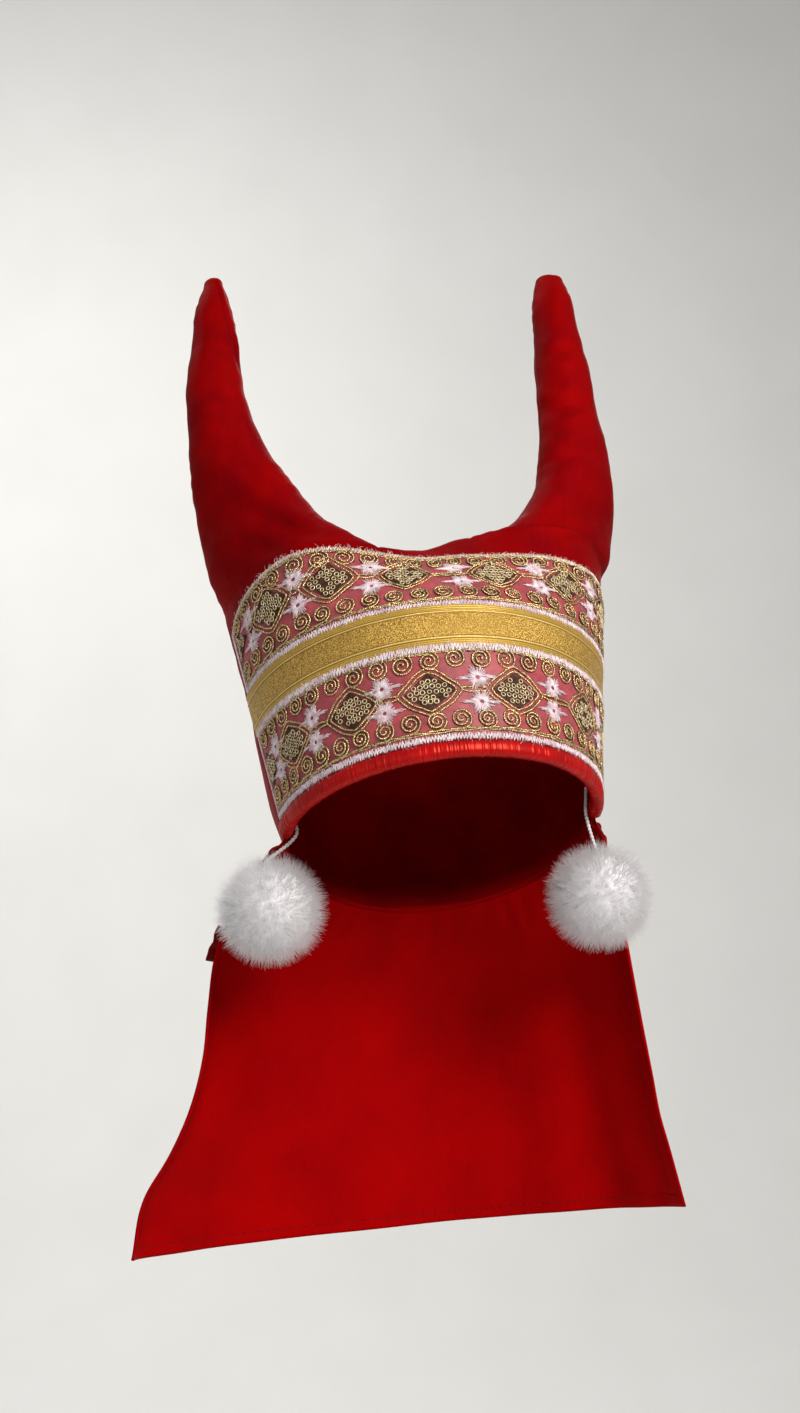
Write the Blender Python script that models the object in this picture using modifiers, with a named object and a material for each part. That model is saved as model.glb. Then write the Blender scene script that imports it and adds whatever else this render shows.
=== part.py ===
"""Horned kichka: a soft red festive hat with two stuffed horns, embroidered
tapes, a nape cloth, ties and two fur pompoms. Metres, +Z up, front to -Y.
Heights on the wall are measured from the rim, in the hat's own frame, which
leans back by TILT when the hat is worn."""

import random
from math import cos, pi, radians, sin

import bmesh
import bpy
import numpy as np

# Rim, an oval, and how far the worn hat leans back.
RIM_HALF_WIDTH = 0.0835
RIM_HALF_DEPTH = 0.099
TILT = radians(13)
SEAM = radians(88)

# Front wall: it flares, and its upper middle leans back.
WALL_THICK = 0.003
HOOD_THICK = 0.0022
SIDE_FLARE = radians(9.5)
FRONT_FLARE = radians(3)
LEAN_BACK = radians(36)
LEAN_FROM, LEAN_TO = 0.062, 0.095
LEAN_LEFT, LEAN_RIGHT = radians(52), radians(65)

# Top line: the valley between the horns, and where each horn starts.
VALLEY_TOP = 0.133
HORN_START = {-1: (radians(19), 0.1375), 1: (radians(18), 0.138)}
HORN_COLUMNS, VALLEY_COLUMNS, HORN_ROWS = 10, 8, 13
# Levels of the rows of the wall as far as the top line, shared with the tapes.
LEVELS = (0.0, 0.006, 0.022, 0.039, 0.056, 0.067, 0.0785, 0.087, 0.097, 0.108, 0.118, 0.1287)
WALL_ROWS = len(LEVELS)
BASE_DEPTH = 0.034

# One row per horn section: height, inner x, outer x, depth y, thickness, turn.
HORN_LEFT = [
    (0.136, 0.031, 0.1080, -0.041, 0.036, 40),
    (0.150, 0.053, 0.1105, -0.040, 0.038, 40),
    (0.163, 0.061, 0.1130, -0.040, 0.038, 38),
    (0.181, 0.070, 0.1160, -0.043, 0.036, 32),
    (0.207, 0.0785, 0.1185, -0.047, 0.032, 20),
    (0.239, 0.0870, 0.1190, -0.051, 0.027, 8),
    (0.279, 0.0900, 0.1140, -0.054, 0.022, 0),
    (0.303, 0.0925, 0.1090, -0.055, 0.0175, 0),
    (0.315, 0.0952, 0.1045, -0.055, 0.010, 0),
]
LEFT_TIP = (0.0990, 0.3205)
HORN_RIGHT = [
    (0.135, 0.026, 0.1060, -0.041, 0.036, 40),
    (0.145, 0.051, 0.1080, -0.038, 0.038, 40),
    (0.156, 0.0605, 0.1105, -0.038, 0.037, 38),
    (0.171, 0.0675, 0.1130, -0.041, 0.035, 33),
    (0.198, 0.0735, 0.1125, -0.046, 0.032, 22),
    (0.231, 0.077, 0.1095, -0.051, 0.028, 8),
    (0.272, 0.082, 0.1070, -0.054, 0.024, 0),
    (0.298, 0.0845, 0.1055, -0.055, 0.0195, 0),
    (0.311, 0.0862, 0.1030, -0.055, 0.015, 0),
]
RIGHT_TIP = (0.0942, 0.3165)

# Hood along the middle of the head, nape to valley: y, z in the hat's frame.
HOOD_MIDDLE = [
    (0.0905, -0.014),
    (0.0990, 0.006),
    (0.1025, 0.030),
    (0.0990, 0.056),
    (0.0860, 0.080),
    (0.0620, 0.098),
    (0.0300, 0.109),
    (-0.0050, 0.115),
    (-0.0400, 0.1195),
]
HOOD_BULGE = 0.0035

# Tapes: height of the lower and of the upper edge, end angle.
LOWER_LACE = (0.0062, 0.0557, radians(82))
GOLD_RIBBON = (0.0562, 0.0782, radians(84))
UPPER_LACE = (0.0787, 0.1285, radians(81))
TAPE_THICK = 0.0012
GAP = 0.0003

# Nape cloth: drop, left and right half width, y of the edges and of the middle.
CLOTH = [
    (0.000, 0.0832, 0.0832, 0.000, 0.0840),
    (0.010, 0.0940, 0.0890, 0.010, 0.0880),
    (0.020, 0.1040, 0.0930, 0.016, 0.0905),
    (0.035, 0.1130, 0.0960, 0.022, 0.0935),
    (0.055, 0.1210, 0.0985, 0.027, 0.0970),
    (0.080, 0.1260, 0.1010, 0.030, 0.1000),
    (0.109, 0.1310, 0.1040, 0.033, 0.1020),
    (0.135, 0.1400, 0.1070, 0.036, 0.1030),
    (0.157, 0.1520, 0.1095, 0.039, 0.1040),
    (0.174, 0.1640, 0.1130, 0.041, 0.1050),
    (0.206, 0.1730, 0.1190, 0.044, 0.1070),
]
CLOTH_THICK = 0.0014
TIE_WIDTH = 0.008
TIE_THICK = 0.0012
TIE_DROP = 0.017

# Pompoms: centre, and radius of the solid core.
POMPOMS = {"left": (-0.0935, -0.011, -0.0375), "right": (0.0790, -0.011, -0.0430)}
POMPOM_CORE = 0.0225
LOCK_SHORT, LOCK_LONG = 0.003, 0.0062
CORD_RADIUS = 0.0012
CORD_ANGLE = radians(84)


def ease(t):
    t = np.clip(t, 0.0, 1.0)
    return t * t * (3 - 2 * t)


def smooth_rows(table, at):
    """Every column of the table at a first-column value, on a smooth curve."""
    rows = np.array(table, float)
    keys = rows[:, 0]
    k = int(np.clip(np.searchsorted(keys, at) - 1, 0, len(keys) - 2))
    slopes = np.gradient(rows, keys, axis=0)
    span = keys[k + 1] - keys[k]
    t = (at - keys[k]) / span
    return (
        rows[k] * (2 * t**3 - 3 * t**2 + 1)
        + slopes[k] * span * (t**3 - 2 * t**2 + t)
        + rows[k + 1] * (3 * t**2 - 2 * t**3)
        + slopes[k + 1] * span * (t**3 - t**2)
    )


def worn(p):
    """From the hat's frame to the worn position, leaning back."""
    x, y, z = p
    return np.array([x, y * cos(TILT) + z * sin(TILT), z * cos(TILT) - y * sin(TILT)])


def rim_radius(angle):
    a, b = RIM_HALF_WIDTH, RIM_HALF_DEPTH
    return a * b / np.hypot(b * sin(angle), a * cos(angle))


def lean(angle, height):
    flare = FRONT_FLARE + (SIDE_FLARE - FRONT_FLARE) * sin(angle) ** 2
    reach = LEAN_RIGHT if angle > 0 else LEAN_LEFT
    share = cos(angle / reach * pi / 2) ** 2 if abs(angle) < reach else 0.0
    return flare - LEAN_BACK * share * ease((height - LEAN_FROM) / (LEAN_TO - LEAN_FROM))


def wall(angle, height, out=0.0):
    """A point of the front wall: angle from the front, height along the cloth."""
    steps = 30
    radius, level = rim_radius(angle), 0.0
    for k in range(steps):
        slope = lean(angle, height * (k + 0.5) / steps)
        radius += sin(slope) * height / steps
        level += cos(slope) * height / steps
    slope = lean(angle, height)
    radius += out * cos(slope)
    level -= out * sin(slope)
    return np.array([radius * sin(angle), -radius * cos(angle), level])


def top_height(angle):
    start, height = HORN_START[1 if angle > 0 else -1]
    return VALLEY_TOP + (height - VALLEY_TOP) * ease(abs(angle) / start)


def row_height(row, angle):
    return LEVELS[row] if row < WALL_ROWS else top_height(angle)


def column_angles():
    left = np.linspace(-SEAM, -HORN_START[-1][0], HORN_COLUMNS + 1)
    right = np.linspace(HORN_START[1][0], SEAM, HORN_COLUMNS + 1)
    middle = np.linspace(left[-1], right[0], VALLEY_COLUMNS + 1)
    return np.concatenate([left[:-1], middle, right[1:]])


def base_depth(column):
    """How thick the horn is at its foot, by column; nothing in the valley."""
    last = 2 * HORN_COLUMNS + VALLEY_COLUMNS
    share = min(column, last - column) / HORN_COLUMNS
    return BASE_DEPTH * sin(pi * share) ** 0.8 if 0 < share < 1 else 0.0


def inward(angle):
    return np.array([-sin(angle), cos(angle), 0.0])


def hood_arc(side, across, along):
    """A point of the hood before it meets the horns: across from -1 to 1."""
    turn = across * pi / 2
    middle = np.vstack([HOOD_MIDDLE, wall(0.0, VALLEY_TOP)[1:]])
    keys = np.concatenate([[0], np.cumsum(np.hypot(*np.diff(middle, axis=0).T))])
    _, y, z = smooth_rows(np.column_stack([keys / keys[-1], middle]), along)
    bulge = HOOD_BULGE * sin(pi * min(1.0, (1 - abs(across)) / 0.55))
    bulge *= ease(along / 0.2) * (1 - ease((along - 0.75) / 0.25))
    return np.array(
        [
            abs(side[0]) * sin(turn) + np.sign(across) * bulge,
            side[1] + (y - side[1]) * cos(turn),
            side[2] + (z - side[2]) * cos(turn),
        ]
    )


def crown_sheets():
    """The front and back sheets as grids, rows from the rim up to the top line."""
    angles = column_angles()
    front, back = [], []
    for r in range(WALL_ROWS + 1):
        front.append([wall(a, row_height(r, a)) for a in angles])
    for r in range(WALL_ROWS + 1):
        along = row_height(r, -SEAM) / top_height(-SEAM)
        pull = ease((along - 0.4) / 0.6)
        row = []
        for c, a in enumerate(angles):
            arc = hood_arc(front[r][0], a / SEAM, along)
            top = front[-1][c] + inward(a) * base_depth(c)
            row.append(arc + pull * (top - hood_arc(front[-1][0], a / SEAM, 1.0)))
        row[0], row[-1] = front[r][0], front[r][-1]
        back.append(row)
    return angles, np.array(front), np.array(back)


def lining_sheets(angles, front, back):
    """The inner faces of the same sheets; under the horns they close to a roof."""
    reach = np.gradient(back, axis=1)
    rise = np.gradient(back, axis=0)
    normal = np.cross(reach, rise)
    normal /= np.linalg.norm(normal, axis=2, keepdims=True)
    inner_back = back + normal * HOOD_THICK * np.sign(normal[3, 14, 1] * -1)
    inner_front = np.zeros_like(front)
    for r in range(WALL_ROWS + 1):
        for c, a in enumerate(angles):
            inner_front[r, c] = wall(a, row_height(r, a), -WALL_THICK)
    for c, a in enumerate(angles):
        roof = front[-1][c] + inward(a) * max(0.0045, base_depth(c) / 2)
        inner_front[-1, c] = inner_back[-1, c] = roof - np.array([0, 0, 0.0065])
    inner_back[:, 0], inner_back[:, -1] = inner_front[:, 0], inner_front[:, -1]
    return inner_front, inner_back


def horn_section(table, side, height, column):
    """Front and back points of one column of a horn at a height."""
    _, inner, outer, y, thick, turn = smooth_rows(table, height)
    turn = radians(turn)
    chord = np.array([side * cos(turn), sin(turn), 0.0])
    face = np.array([side * sin(turn), -cos(turn), 0.0])
    phase = pi * column / HORN_COLUMNS
    middle = np.array([side * (inner + outer) / 2, y, height])
    point = middle + chord * cos(phase) * (outer - inner) / 2 / cos(turn)
    bulge = face * sin(phase) * thick / 2
    return point + bulge, point - bulge


def build_mesh(name, points, faces, material, collection):
    mesh = bpy.data.meshes.new(name)
    mesh.from_pydata([tuple(p) for p in points], [], faces)
    bm = bmesh.new()
    bm.from_mesh(mesh)
    bmesh.ops.recalc_face_normals(bm, faces=bm.faces)
    bm.to_mesh(mesh)
    bm.free()
    mesh.materials.append(material)
    mesh.shade_smooth()
    thing = bpy.data.objects.new(name, mesh)
    collection.objects.link(thing)
    return thing


def horned_crown(collection):
    angles, front, back = crown_sheets()
    inner_front, inner_back = lining_sheets(angles, front, back)
    last = len(angles) - 1
    points, faces, index = [], [], {}

    def vertex(sheet, r, c, place):
        glued = c in (0, last)
        if sheet in ("front", "back"):
            valley = HORN_COLUMNS <= c <= last - HORN_COLUMNS
            key = ("out" if glued or (r == WALL_ROWS and valley) else sheet, r, c)
        else:
            key = ("in" if glued or r == WALL_ROWS else sheet, r, c)
        if key not in index:
            index[key] = len(points)
            points.append(worn(place))
        return index[key]

    sheets = {"front": front, "back": back, "in_front": inner_front, "in_back": inner_back}
    ids = {
        name: [[vertex(name, r, c, grid[r, c]) for c in range(last + 1)]
               for r in range(WALL_ROWS + 1)]
        for name, grid in sheets.items()
    }
    for name, grid in ids.items():
        for r in range(WALL_ROWS):
            for c in range(last):
                quad = [grid[r][c], grid[r][c + 1], grid[r + 1][c + 1], grid[r + 1][c]]
                faces.append(quad if name in ("front", "in_back") else quad[::-1])
    for outer, inner in (("front", "in_front"), ("in_back", "back")):
        for c in range(last):
            faces.append([ids[inner][0][c], ids[inner][0][c + 1],
                          ids[outer][0][c + 1], ids[outer][0][c]])
    for side, table, tip in ((-1, HORN_LEFT, LEFT_TIP), (1, HORN_RIGHT, RIGHT_TIP)):
        horn(side, table, tip, ids, front, back, points, faces, last)
    return build_mesh("horned_crown", points, faces, crown_cloth(), collection)


def horn(side, table, tip, ids, front, back, points, faces, last):
    """Rows of rings from the foot of the horn up to its tip."""
    columns = [c if side < 0 else last - c for c in range(HORN_COLUMNS + 1)]
    ring = [ids["front"][-1][c] for c in columns]
    ring += [ids["back"][-1][c] for c in columns[-2:0:-1]]
    low, high = table[0][0], table[-1][0]
    for r in range(1, HORN_ROWS + 1):
        height = low + (high - low) * (r / HORN_ROWS) ** 1.25
        hold = 1 - ease((height - low) / 0.034)
        sides = ([], [])
        for k, c in enumerate(columns):
            pair = horn_section(table, side, height, k)
            for sheet, place, row in ((front, pair[0], sides[0]), (back, pair[1], sides[1])):
                foot = sheet[-1][c] + (place - sheet[-1][c]) * np.array([1.0, 0.6, 1.0])
                row.append(place + hold * (foot - place))
        ring_points = sides[0] + sides[1][-2:0:-1]
        start = len(points)
        points.extend(worn(p) for p in ring_points)
        fresh = list(range(start, start + len(ring_points)))
        for k in range(len(ring)):
            n = (k + 1) % len(ring)
            faces.append([ring[k], ring[n], fresh[n], fresh[k]])
        ring = fresh
    points.append(worn((side * tip[0], table[-1][3], tip[1])))
    for k in range(len(ring)):
        faces.append([ring[k], ring[(k + 1) % len(ring)], len(points) - 1])


def strip(name, rows, columns, place, thick, material, collection):
    """A sheet of rows by columns, thickened outwards into a closed strip."""
    grid = [[place(r / rows, c / columns) for c in range(columns + 1)] for r in range(rows + 1)]
    return thick_sheet(name, grid, thick, material, collection)


def thick_sheet(name, grid, thick, material, collection):
    rows, columns = len(grid) - 1, len(grid[0]) - 1
    points = [point for row in grid for point in row]
    wide = columns + 1
    faces = [
        [r * wide + c, r * wide + c + 1, (r + 1) * wide + c + 1, (r + 1) * wide + c]
        for r in range(rows)
        for c in range(columns)
    ]
    mesh = bpy.data.meshes.new(name)
    mesh.from_pydata([tuple(p) for p in points], [], faces)
    mesh.materials.append(material)
    mesh.shade_smooth()
    thing = bpy.data.objects.new(name, mesh)
    collection.objects.link(thing)
    solid = thing.modifiers.new("thickness", "SOLIDIFY")
    solid.thickness = thick
    solid.offset = 1.0
    solid.use_even_offset = True
    return thing


def columns_within(end):
    return [-end] + [a for a in column_angles() if abs(a) < end - radians(1)] + [end]


def tape(name, size, material, collection, round_corner=False):
    low, high, end = size
    levels = [low] + [level for level in LEVELS if low + 0.002 < level < high - 0.002] + [high]
    grid = []
    for level in levels:
        row = []
        for angle in columns_within(end):
            corner = 0.012 * ease((abs(angle) - end * 0.86) / (end * 0.14)) ** 2
            share = (level - low) / (high - low) if round_corner else 0.0
            row.append(worn(wall(angle, level - corner * share, GAP)))
        grid.append(row)
    return thick_sheet(name, grid, TAPE_THICK, material, collection)


def lower_lace(collection):
    return tape("lower_lace", LOWER_LACE, lower_lace_cloth(), collection)


def gold_ribbon(collection):
    return tape("gold_ribbon", GOLD_RIBBON, galloon_weave(), collection)


def upper_lace(collection):
    return tape("upper_lace", UPPER_LACE, upper_lace_cloth(), collection, True)


def rim_binding(collection):
    """A folded strip over the rim: a U-shaped section run round the front."""
    section = [
        (GAP, 0.0058), (0.0015, 0.0057), (0.0019, 0.0020), (0.0010, -0.0017),
        (-0.0040, -0.0017), (-0.0049, 0.0020), (-0.0045, 0.0057),
        (-WALL_THICK - GAP, 0.0058), (-WALL_THICK - GAP, -GAP), (GAP, -GAP),
    ]
    points, faces = [], []
    angles = columns_within(radians(86.5))
    for angle in angles:
        points.extend(worn(wall(angle, height, out)) for out, height in section)
    size, columns = len(section), len(angles) - 1
    for c in range(columns):
        for k in range(size):
            n = (k + 1) % size
            faces.append([c * size + k, c * size + n, (c + 1) * size + n, (c + 1) * size + k])
    faces.append(list(range(size)))
    faces.append(list(range(columns * size, (columns + 1) * size))[::-1])
    return build_mesh("rim_binding", points, faces, satin(), collection)


def cloth_point(across, drop):
    """A point of the nape cloth: across from -1 to 1, drop at the side edges."""
    turn = across * pi / 2
    _, left, right, edge, middle = smooth_rows(CLOTH, drop)
    share = drop / CLOTH[-1][0]
    nape = worn(hood_arc((RIM_HALF_WIDTH, 0, 0), 0.0, 0.0))[2]
    top = nape * cos(turn)
    return np.array(
        [
            (right if across > 0 else left) * sin(turn),
            edge + (middle - edge) * cos(turn) ** (1 + 0.25 * share)
            if abs(across) < 1
            else edge + (middle - edge) * cos(turn),
            top * (1 - share) - drop - 0.0008,
        ]
    )


def cloth_outside(across, drop, out):
    here = cloth_point(across, drop)
    along = cloth_point(across + 0.01, drop) - cloth_point(across - 0.01, drop)
    down = cloth_point(across, drop + 0.001) - here
    normal = np.cross(along, down)
    return here + normal / np.linalg.norm(normal) * out


def nape_cloth(collection):
    grid = []
    for row in range(14):
        drop = CLOTH[-1][0] * (row / 13) ** 1.2
        grid.append([cloth_point(angle / SEAM, drop) for angle in column_angles()])
    return thick_sheet("nape_cloth", grid, CLOTH_THICK, hanging_cloth(), collection)


def tie(name, side, collection):
    def place(down, along):
        across = 1.04 - 1.008 * (along if side < 0 else 1 - along)
        drop = 0.006 + (TIE_DROP - 0.006) * ease((1.04 - across) / 0.2)
        drop += (down - 0.5) * TIE_WIDTH
        return cloth_outside(side * across, max(drop, 0.0), CLOTH_THICK + GAP + 0.0002)

    return strip(name, 2, 26, place, TIE_THICK, tie_cloth(name), collection)


def tie_knot(collection):
    centre = cloth_outside(0.0, TIE_DROP, CLOTH_THICK + 0.0057)
    bm = bmesh.new()
    bmesh.ops.create_uvsphere(bm, u_segments=14, v_segments=8, radius=1.0)
    bmesh.ops.scale(bm, vec=(0.0058, 0.0052, 0.0068), verts=bm.verts)
    bmesh.ops.translate(bm, vec=tuple(centre), verts=bm.verts)
    mesh = bpy.data.meshes.new("tie_knot")
    bm.to_mesh(mesh)
    bm.free()
    mesh.materials.append(tie_cloth("tie_knot"))
    mesh.shade_smooth()
    thing = bpy.data.objects.new("tie_knot", mesh)
    collection.objects.link(thing)
    return thing


def tie_tail_left(collection):
    def place(down, back):
        along = 1 - back
        wide = TIE_WIDTH + 0.009 * along
        across = -0.02 - 0.80 * along
        drop = TIE_DROP + 0.0087 + 0.0183 * along + (down - 0.5) * wide
        lift = CLOTH_THICK + 0.0005 + 0.011 * ease((along - 0.45) / 0.55)
        return cloth_outside(across, drop, lift)

    name = "tie_tail_left"
    return strip(name, 2, 22, place, TIE_THICK, tie_cloth(name), collection)


def tie_tail_right(collection):
    def place(across, along):
        wide = (TIE_WIDTH + 0.007 * along) / 0.15
        side = 0.035 + 0.05 * along - (across - 0.5) * wide
        drop = TIE_DROP + 0.0085 + 0.107 * along
        return cloth_outside(side, drop, CLOTH_THICK + 0.0005)

    name = "tie_tail_right"
    return strip(name, 2, 14, place, TIE_THICK, tie_cloth(name), collection)


def pompom(name, centre, seed, collection):
    """A ball of fur: a core with locks drawn out of it, one closed body."""
    rng = random.Random(seed)
    bm = bmesh.new()
    bmesh.ops.create_icosphere(bm, subdivisions=3, radius=POMPOM_CORE)
    chosen = []
    for face in bm.faces:
        clear = face.calc_center_median().z < 0.8 * POMPOM_CORE
        if rng.random() < 0.32 and clear:
            chosen.append(face)
    for face in bmesh.ops.extrude_discrete_faces(bm, faces=chosen)["faces"]:
        middle = face.calc_center_median()
        reach = rng.uniform(LOCK_SHORT, LOCK_LONG)
        for vertex in face.verts:
            vertex.co = middle + (vertex.co - middle) * 0.22 + middle.normalized() * reach
    bmesh.ops.translate(bm, vec=centre, verts=bm.verts)
    mesh = bpy.data.meshes.new(name)
    bm.to_mesh(mesh)
    bm.free()
    mesh.materials.append(white_fur(name))
    thing = bpy.data.objects.new(name, mesh)
    collection.objects.link(thing)
    return thing


def cord(name, path, collection):
    curve = bpy.data.curves.new(name, "CURVE")
    curve.dimensions = "3D"
    curve.bevel_depth = CORD_RADIUS
    curve.bevel_resolution = 2
    curve.use_fill_caps = True
    spline = curve.splines.new("POLY")
    keys = np.arange(len(path), dtype=float)
    table = np.column_stack([keys, path])
    places = [smooth_rows(table, t)[1:] for t in np.linspace(0, len(path) - 1, 22)]
    spline.points.add(len(places) - 1)
    for point, place in zip(spline.points, places):
        point.co = (*place, 1.0)
    curve.materials.append(cord_thread(name))
    thing = bpy.data.objects.new(name, curve)
    collection.objects.link(thing)
    return thing


def hang_pompoms(collection):
    for seed, (side, centre) in enumerate(POMPOMS.items()):
        x, y, z = centre
        sign = -1 if x < 0 else 1
        top = z + POMPOM_CORE
        inner = -WALL_THICK - GAP
        path = [
            worn(wall(sign * CORD_ANGLE, height, inner - out))
            for height, out in ((0.0165, 0), (0.0163, 0.0015), (0.0145, 0.0029),
                                (0.0110, 0.0032), (0.0060, 0.0032), (-0.0005, 0.0032))
        ]
        start = path[-1]
        for out, down in ((0.2, 0.3), (0.66, 0.64), (0.95, 0.84), (1.0, 1.0)):
            level = start[2] + (top + 0.0007 - start[2]) * down
            path.append((start[0] + (x - start[0]) * out, start[1] + (y - start[1]) * out, level))
        cord("pompom_cord_" + side, path, collection)
        pompom("pompom_" + side, centre, 11 + seed, collection)


def plain_material(name, colour, roughness, sheen=0.0, metallic=0.0):
    material = bpy.data.materials.new(name)
    material.use_nodes = True
    shader = material.node_tree.nodes["Principled BSDF"]
    shader.inputs["Base Color"].default_value = (*colour, 1.0)
    shader.inputs["Roughness"].default_value = roughness
    shader.inputs["Sheen Weight"].default_value = sheen
    shader.inputs["Metallic"].default_value = metallic
    material.diffuse_color = (*colour, 1.0)
    return material


def crown_cloth():
    return plain_material("crown_cloth", (0.46, 0.004, 0.006), 0.62, sheen=0.2)


def upper_lace_cloth():
    return plain_material("upper_lace_cloth", (0.36, 0.12, 0.11), 0.5)


def lower_lace_cloth():
    return plain_material("lower_lace_cloth", (0.42, 0.12, 0.12), 0.5)


def galloon_weave():
    return plain_material("galloon_weave", (0.58, 0.36, 0.06), 0.42, metallic=0.4)


def satin():
    return plain_material("binding_satin", (0.62, 0.010, 0.014), 0.34)


def hanging_cloth():
    return plain_material("nape_cloth_weave", (0.42, 0.004, 0.008), 0.66, sheen=0.2)


def tie_cloth(name):
    return plain_material(name + "_satin", (0.44, 0.006, 0.010), 0.45)


def white_fur(name):
    return plain_material(name + "_fur", (0.86, 0.85, 0.86), 0.85, sheen=0.4)


def cord_thread(name):
    return plain_material(name + "_thread", (0.85, 0.84, 0.82), 0.8)


def clear_scene():
    for thing in list(bpy.data.objects):
        bpy.data.objects.remove(thing)


def main():
    clear_scene()
    collection = bpy.data.collections.new("horned_kichka")
    bpy.context.scene.collection.children.link(collection)
    horned_crown(collection)
    lower_lace(collection)
    gold_ribbon(collection)
    upper_lace(collection)
    rim_binding(collection)
    nape_cloth(collection)
    tie("tie_left", -1, collection)
    tie("tie_right", 1, collection)
    tie_knot(collection)
    tie_tail_left(collection)
    tie_tail_right(collection)
    hang_pompoms(collection)


main()
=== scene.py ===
from math import cos, pi, radians, sin

import bmesh
import bpy
import numpy as np
from mathutils import Matrix, Vector, noise
from mathutils.kdtree import KDTree


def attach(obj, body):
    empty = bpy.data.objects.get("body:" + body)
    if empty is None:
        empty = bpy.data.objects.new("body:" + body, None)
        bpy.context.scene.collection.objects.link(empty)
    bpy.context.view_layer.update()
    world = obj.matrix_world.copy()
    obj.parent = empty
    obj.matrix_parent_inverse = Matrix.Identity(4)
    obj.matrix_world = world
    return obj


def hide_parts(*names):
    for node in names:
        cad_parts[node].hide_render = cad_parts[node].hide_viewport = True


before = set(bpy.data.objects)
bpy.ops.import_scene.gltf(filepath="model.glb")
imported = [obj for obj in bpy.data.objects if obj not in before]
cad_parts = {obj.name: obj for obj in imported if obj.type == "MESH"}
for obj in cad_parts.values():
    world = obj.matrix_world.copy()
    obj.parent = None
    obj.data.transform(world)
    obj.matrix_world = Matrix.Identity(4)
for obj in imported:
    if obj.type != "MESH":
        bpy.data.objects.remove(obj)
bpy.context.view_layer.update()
rng = np.random.default_rng(7)

# The photo's camera, in the worn frame.
cameraView = {
    "target": (-0.0179, -0.0114, 0.0646),
    "distance": 0.95,
    "azimuth": radians(-8),
    "elevation": radians(-12),
    "roll": radians(5),
    "lens": 45.86,
    "sensor": 36.0,
}


def makeCamera(view):
    data = bpy.data.cameras.new("photoCamera")
    data.sensor_fit = "VERTICAL"
    data.sensor_height = view["sensor"]
    data.lens = view["lens"]
    data.clip_start = 0.01
    camera = bpy.data.objects.new("photoCamera", data)
    turns = (
        Matrix.Rotation(view["azimuth"], 4, "Z")
        @ Matrix.Rotation(pi / 2 - view["elevation"], 4, "X")
        @ Matrix.Rotation(-view["roll"], 4, "Z")
    )
    away = Matrix.Translation((0, 0, view["distance"]))
    camera.matrix_world = Matrix.Translation(view["target"]) @ turns @ away
    bpy.context.scene.collection.objects.link(camera)
    bpy.context.scene.camera = camera
    return camera


makeCamera(cameraView)
print("stage: camera")

# Form of the hat: rim, tilt when worn, lean of the front wall, top line.
form = {
    "halfWidth": 0.0835,
    "halfDepth": 0.099,
    "tilt": radians(13),
    "seam": radians(88),
    "wallThick": 0.003,
    "hoodThick": 0.0022,
    "sideFlare": radians(9.5),
    "frontFlare": radians(3),
    "leanBack": radians(36),
    "leanFrom": 0.062,
    "leanTo": 0.095,
    "leanLeft": radians(52),
    "leanRight": radians(65),
    "valleyTop": 0.1392,
    "hornStartLeft": radians(19),
    "hornStartRight": radians(18),
    "hornColumns": 10,
    "valleyColumns": 8,
    "hornRows": 13,
    "baseDepth": 0.034,
    "hoodBulge": 0.0035,
}
lastColumn = 2 * form["hornColumns"] + form["valleyColumns"]

# Horn sections: height, inner x, outer x, depth y, thickness, turn.
hornTables = {
    -1: [
        (0.136, 0.0365, 0.1080, -0.041, 0.036, 40),
        (0.150, 0.0505, 0.1105, -0.040, 0.038, 40),
        (0.163, 0.0569, 0.1130, -0.040, 0.038, 38),
        (0.181, 0.0661, 0.1160, -0.043, 0.036, 32),
        (0.207, 0.0785, 0.1185, -0.047, 0.032, 20),
        (0.239, 0.0862, 0.1190, -0.051, 0.027, 8),
        (0.279, 0.0885, 0.1140, -0.054, 0.022, 0),
        (0.303, 0.0903, 0.1092, -0.055, 0.0180, 0),
        (0.315, 0.0938, 0.1052, -0.055, 0.0115, 0),
    ],
    1: [
        (0.135, 0.026, 0.1060, -0.041, 0.036, 40),
        (0.145, 0.0478, 0.1080, -0.038, 0.038, 40),
        (0.156, 0.0561, 0.1105, -0.038, 0.037, 38),
        (0.171, 0.0668, 0.1130, -0.041, 0.035, 33),
        (0.198, 0.0742, 0.1125, -0.046, 0.032, 22),
        (0.231, 0.0770, 0.1095, -0.051, 0.028, 8),
        (0.272, 0.0795, 0.1070, -0.054, 0.024, 0),
        (0.298, 0.0832, 0.1055, -0.055, 0.0195, 0),
        (0.311, 0.0866, 0.1026, -0.055, 0.013, 0),
    ],
}
hornTips = {-1: (0.0990, 0.3205), 1: (0.0942, 0.3165)}

# Hood along the middle of the head, nape to valley: y, z in the hat's frame.
hoodMiddle = [
    (0.0905, -0.014),
    (0.0990, 0.006),
    (0.1025, 0.030),
    (0.0990, 0.056),
    (0.0860, 0.080),
    (0.0620, 0.098),
    (0.0300, 0.109),
    (-0.0050, 0.115),
    (-0.0400, 0.1195),
]


def ease(t):
    t = np.clip(t, 0.0, 1.0)
    return t * t * (3 - 2 * t)


def smoothRows(table, at):
    rows = np.array(table, float)
    keys = rows[:, 0]
    at = np.asarray(at, float)
    k = np.clip(np.searchsorted(keys, at) - 1, 0, len(keys) - 2)
    slopes = np.gradient(rows, keys, axis=0)
    span = (keys[k + 1] - keys[k])[..., None]
    t = (at[..., None] - keys[k][..., None]) / span
    return (
        rows[k] * (2 * t**3 - 3 * t**2 + 1)
        + slopes[k] * span * (t**3 - 2 * t**2 + t)
        + rows[k + 1] * (3 * t**2 - 2 * t**3)
        + slopes[k + 1] * span * (t**3 - t**2)
    )


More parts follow.
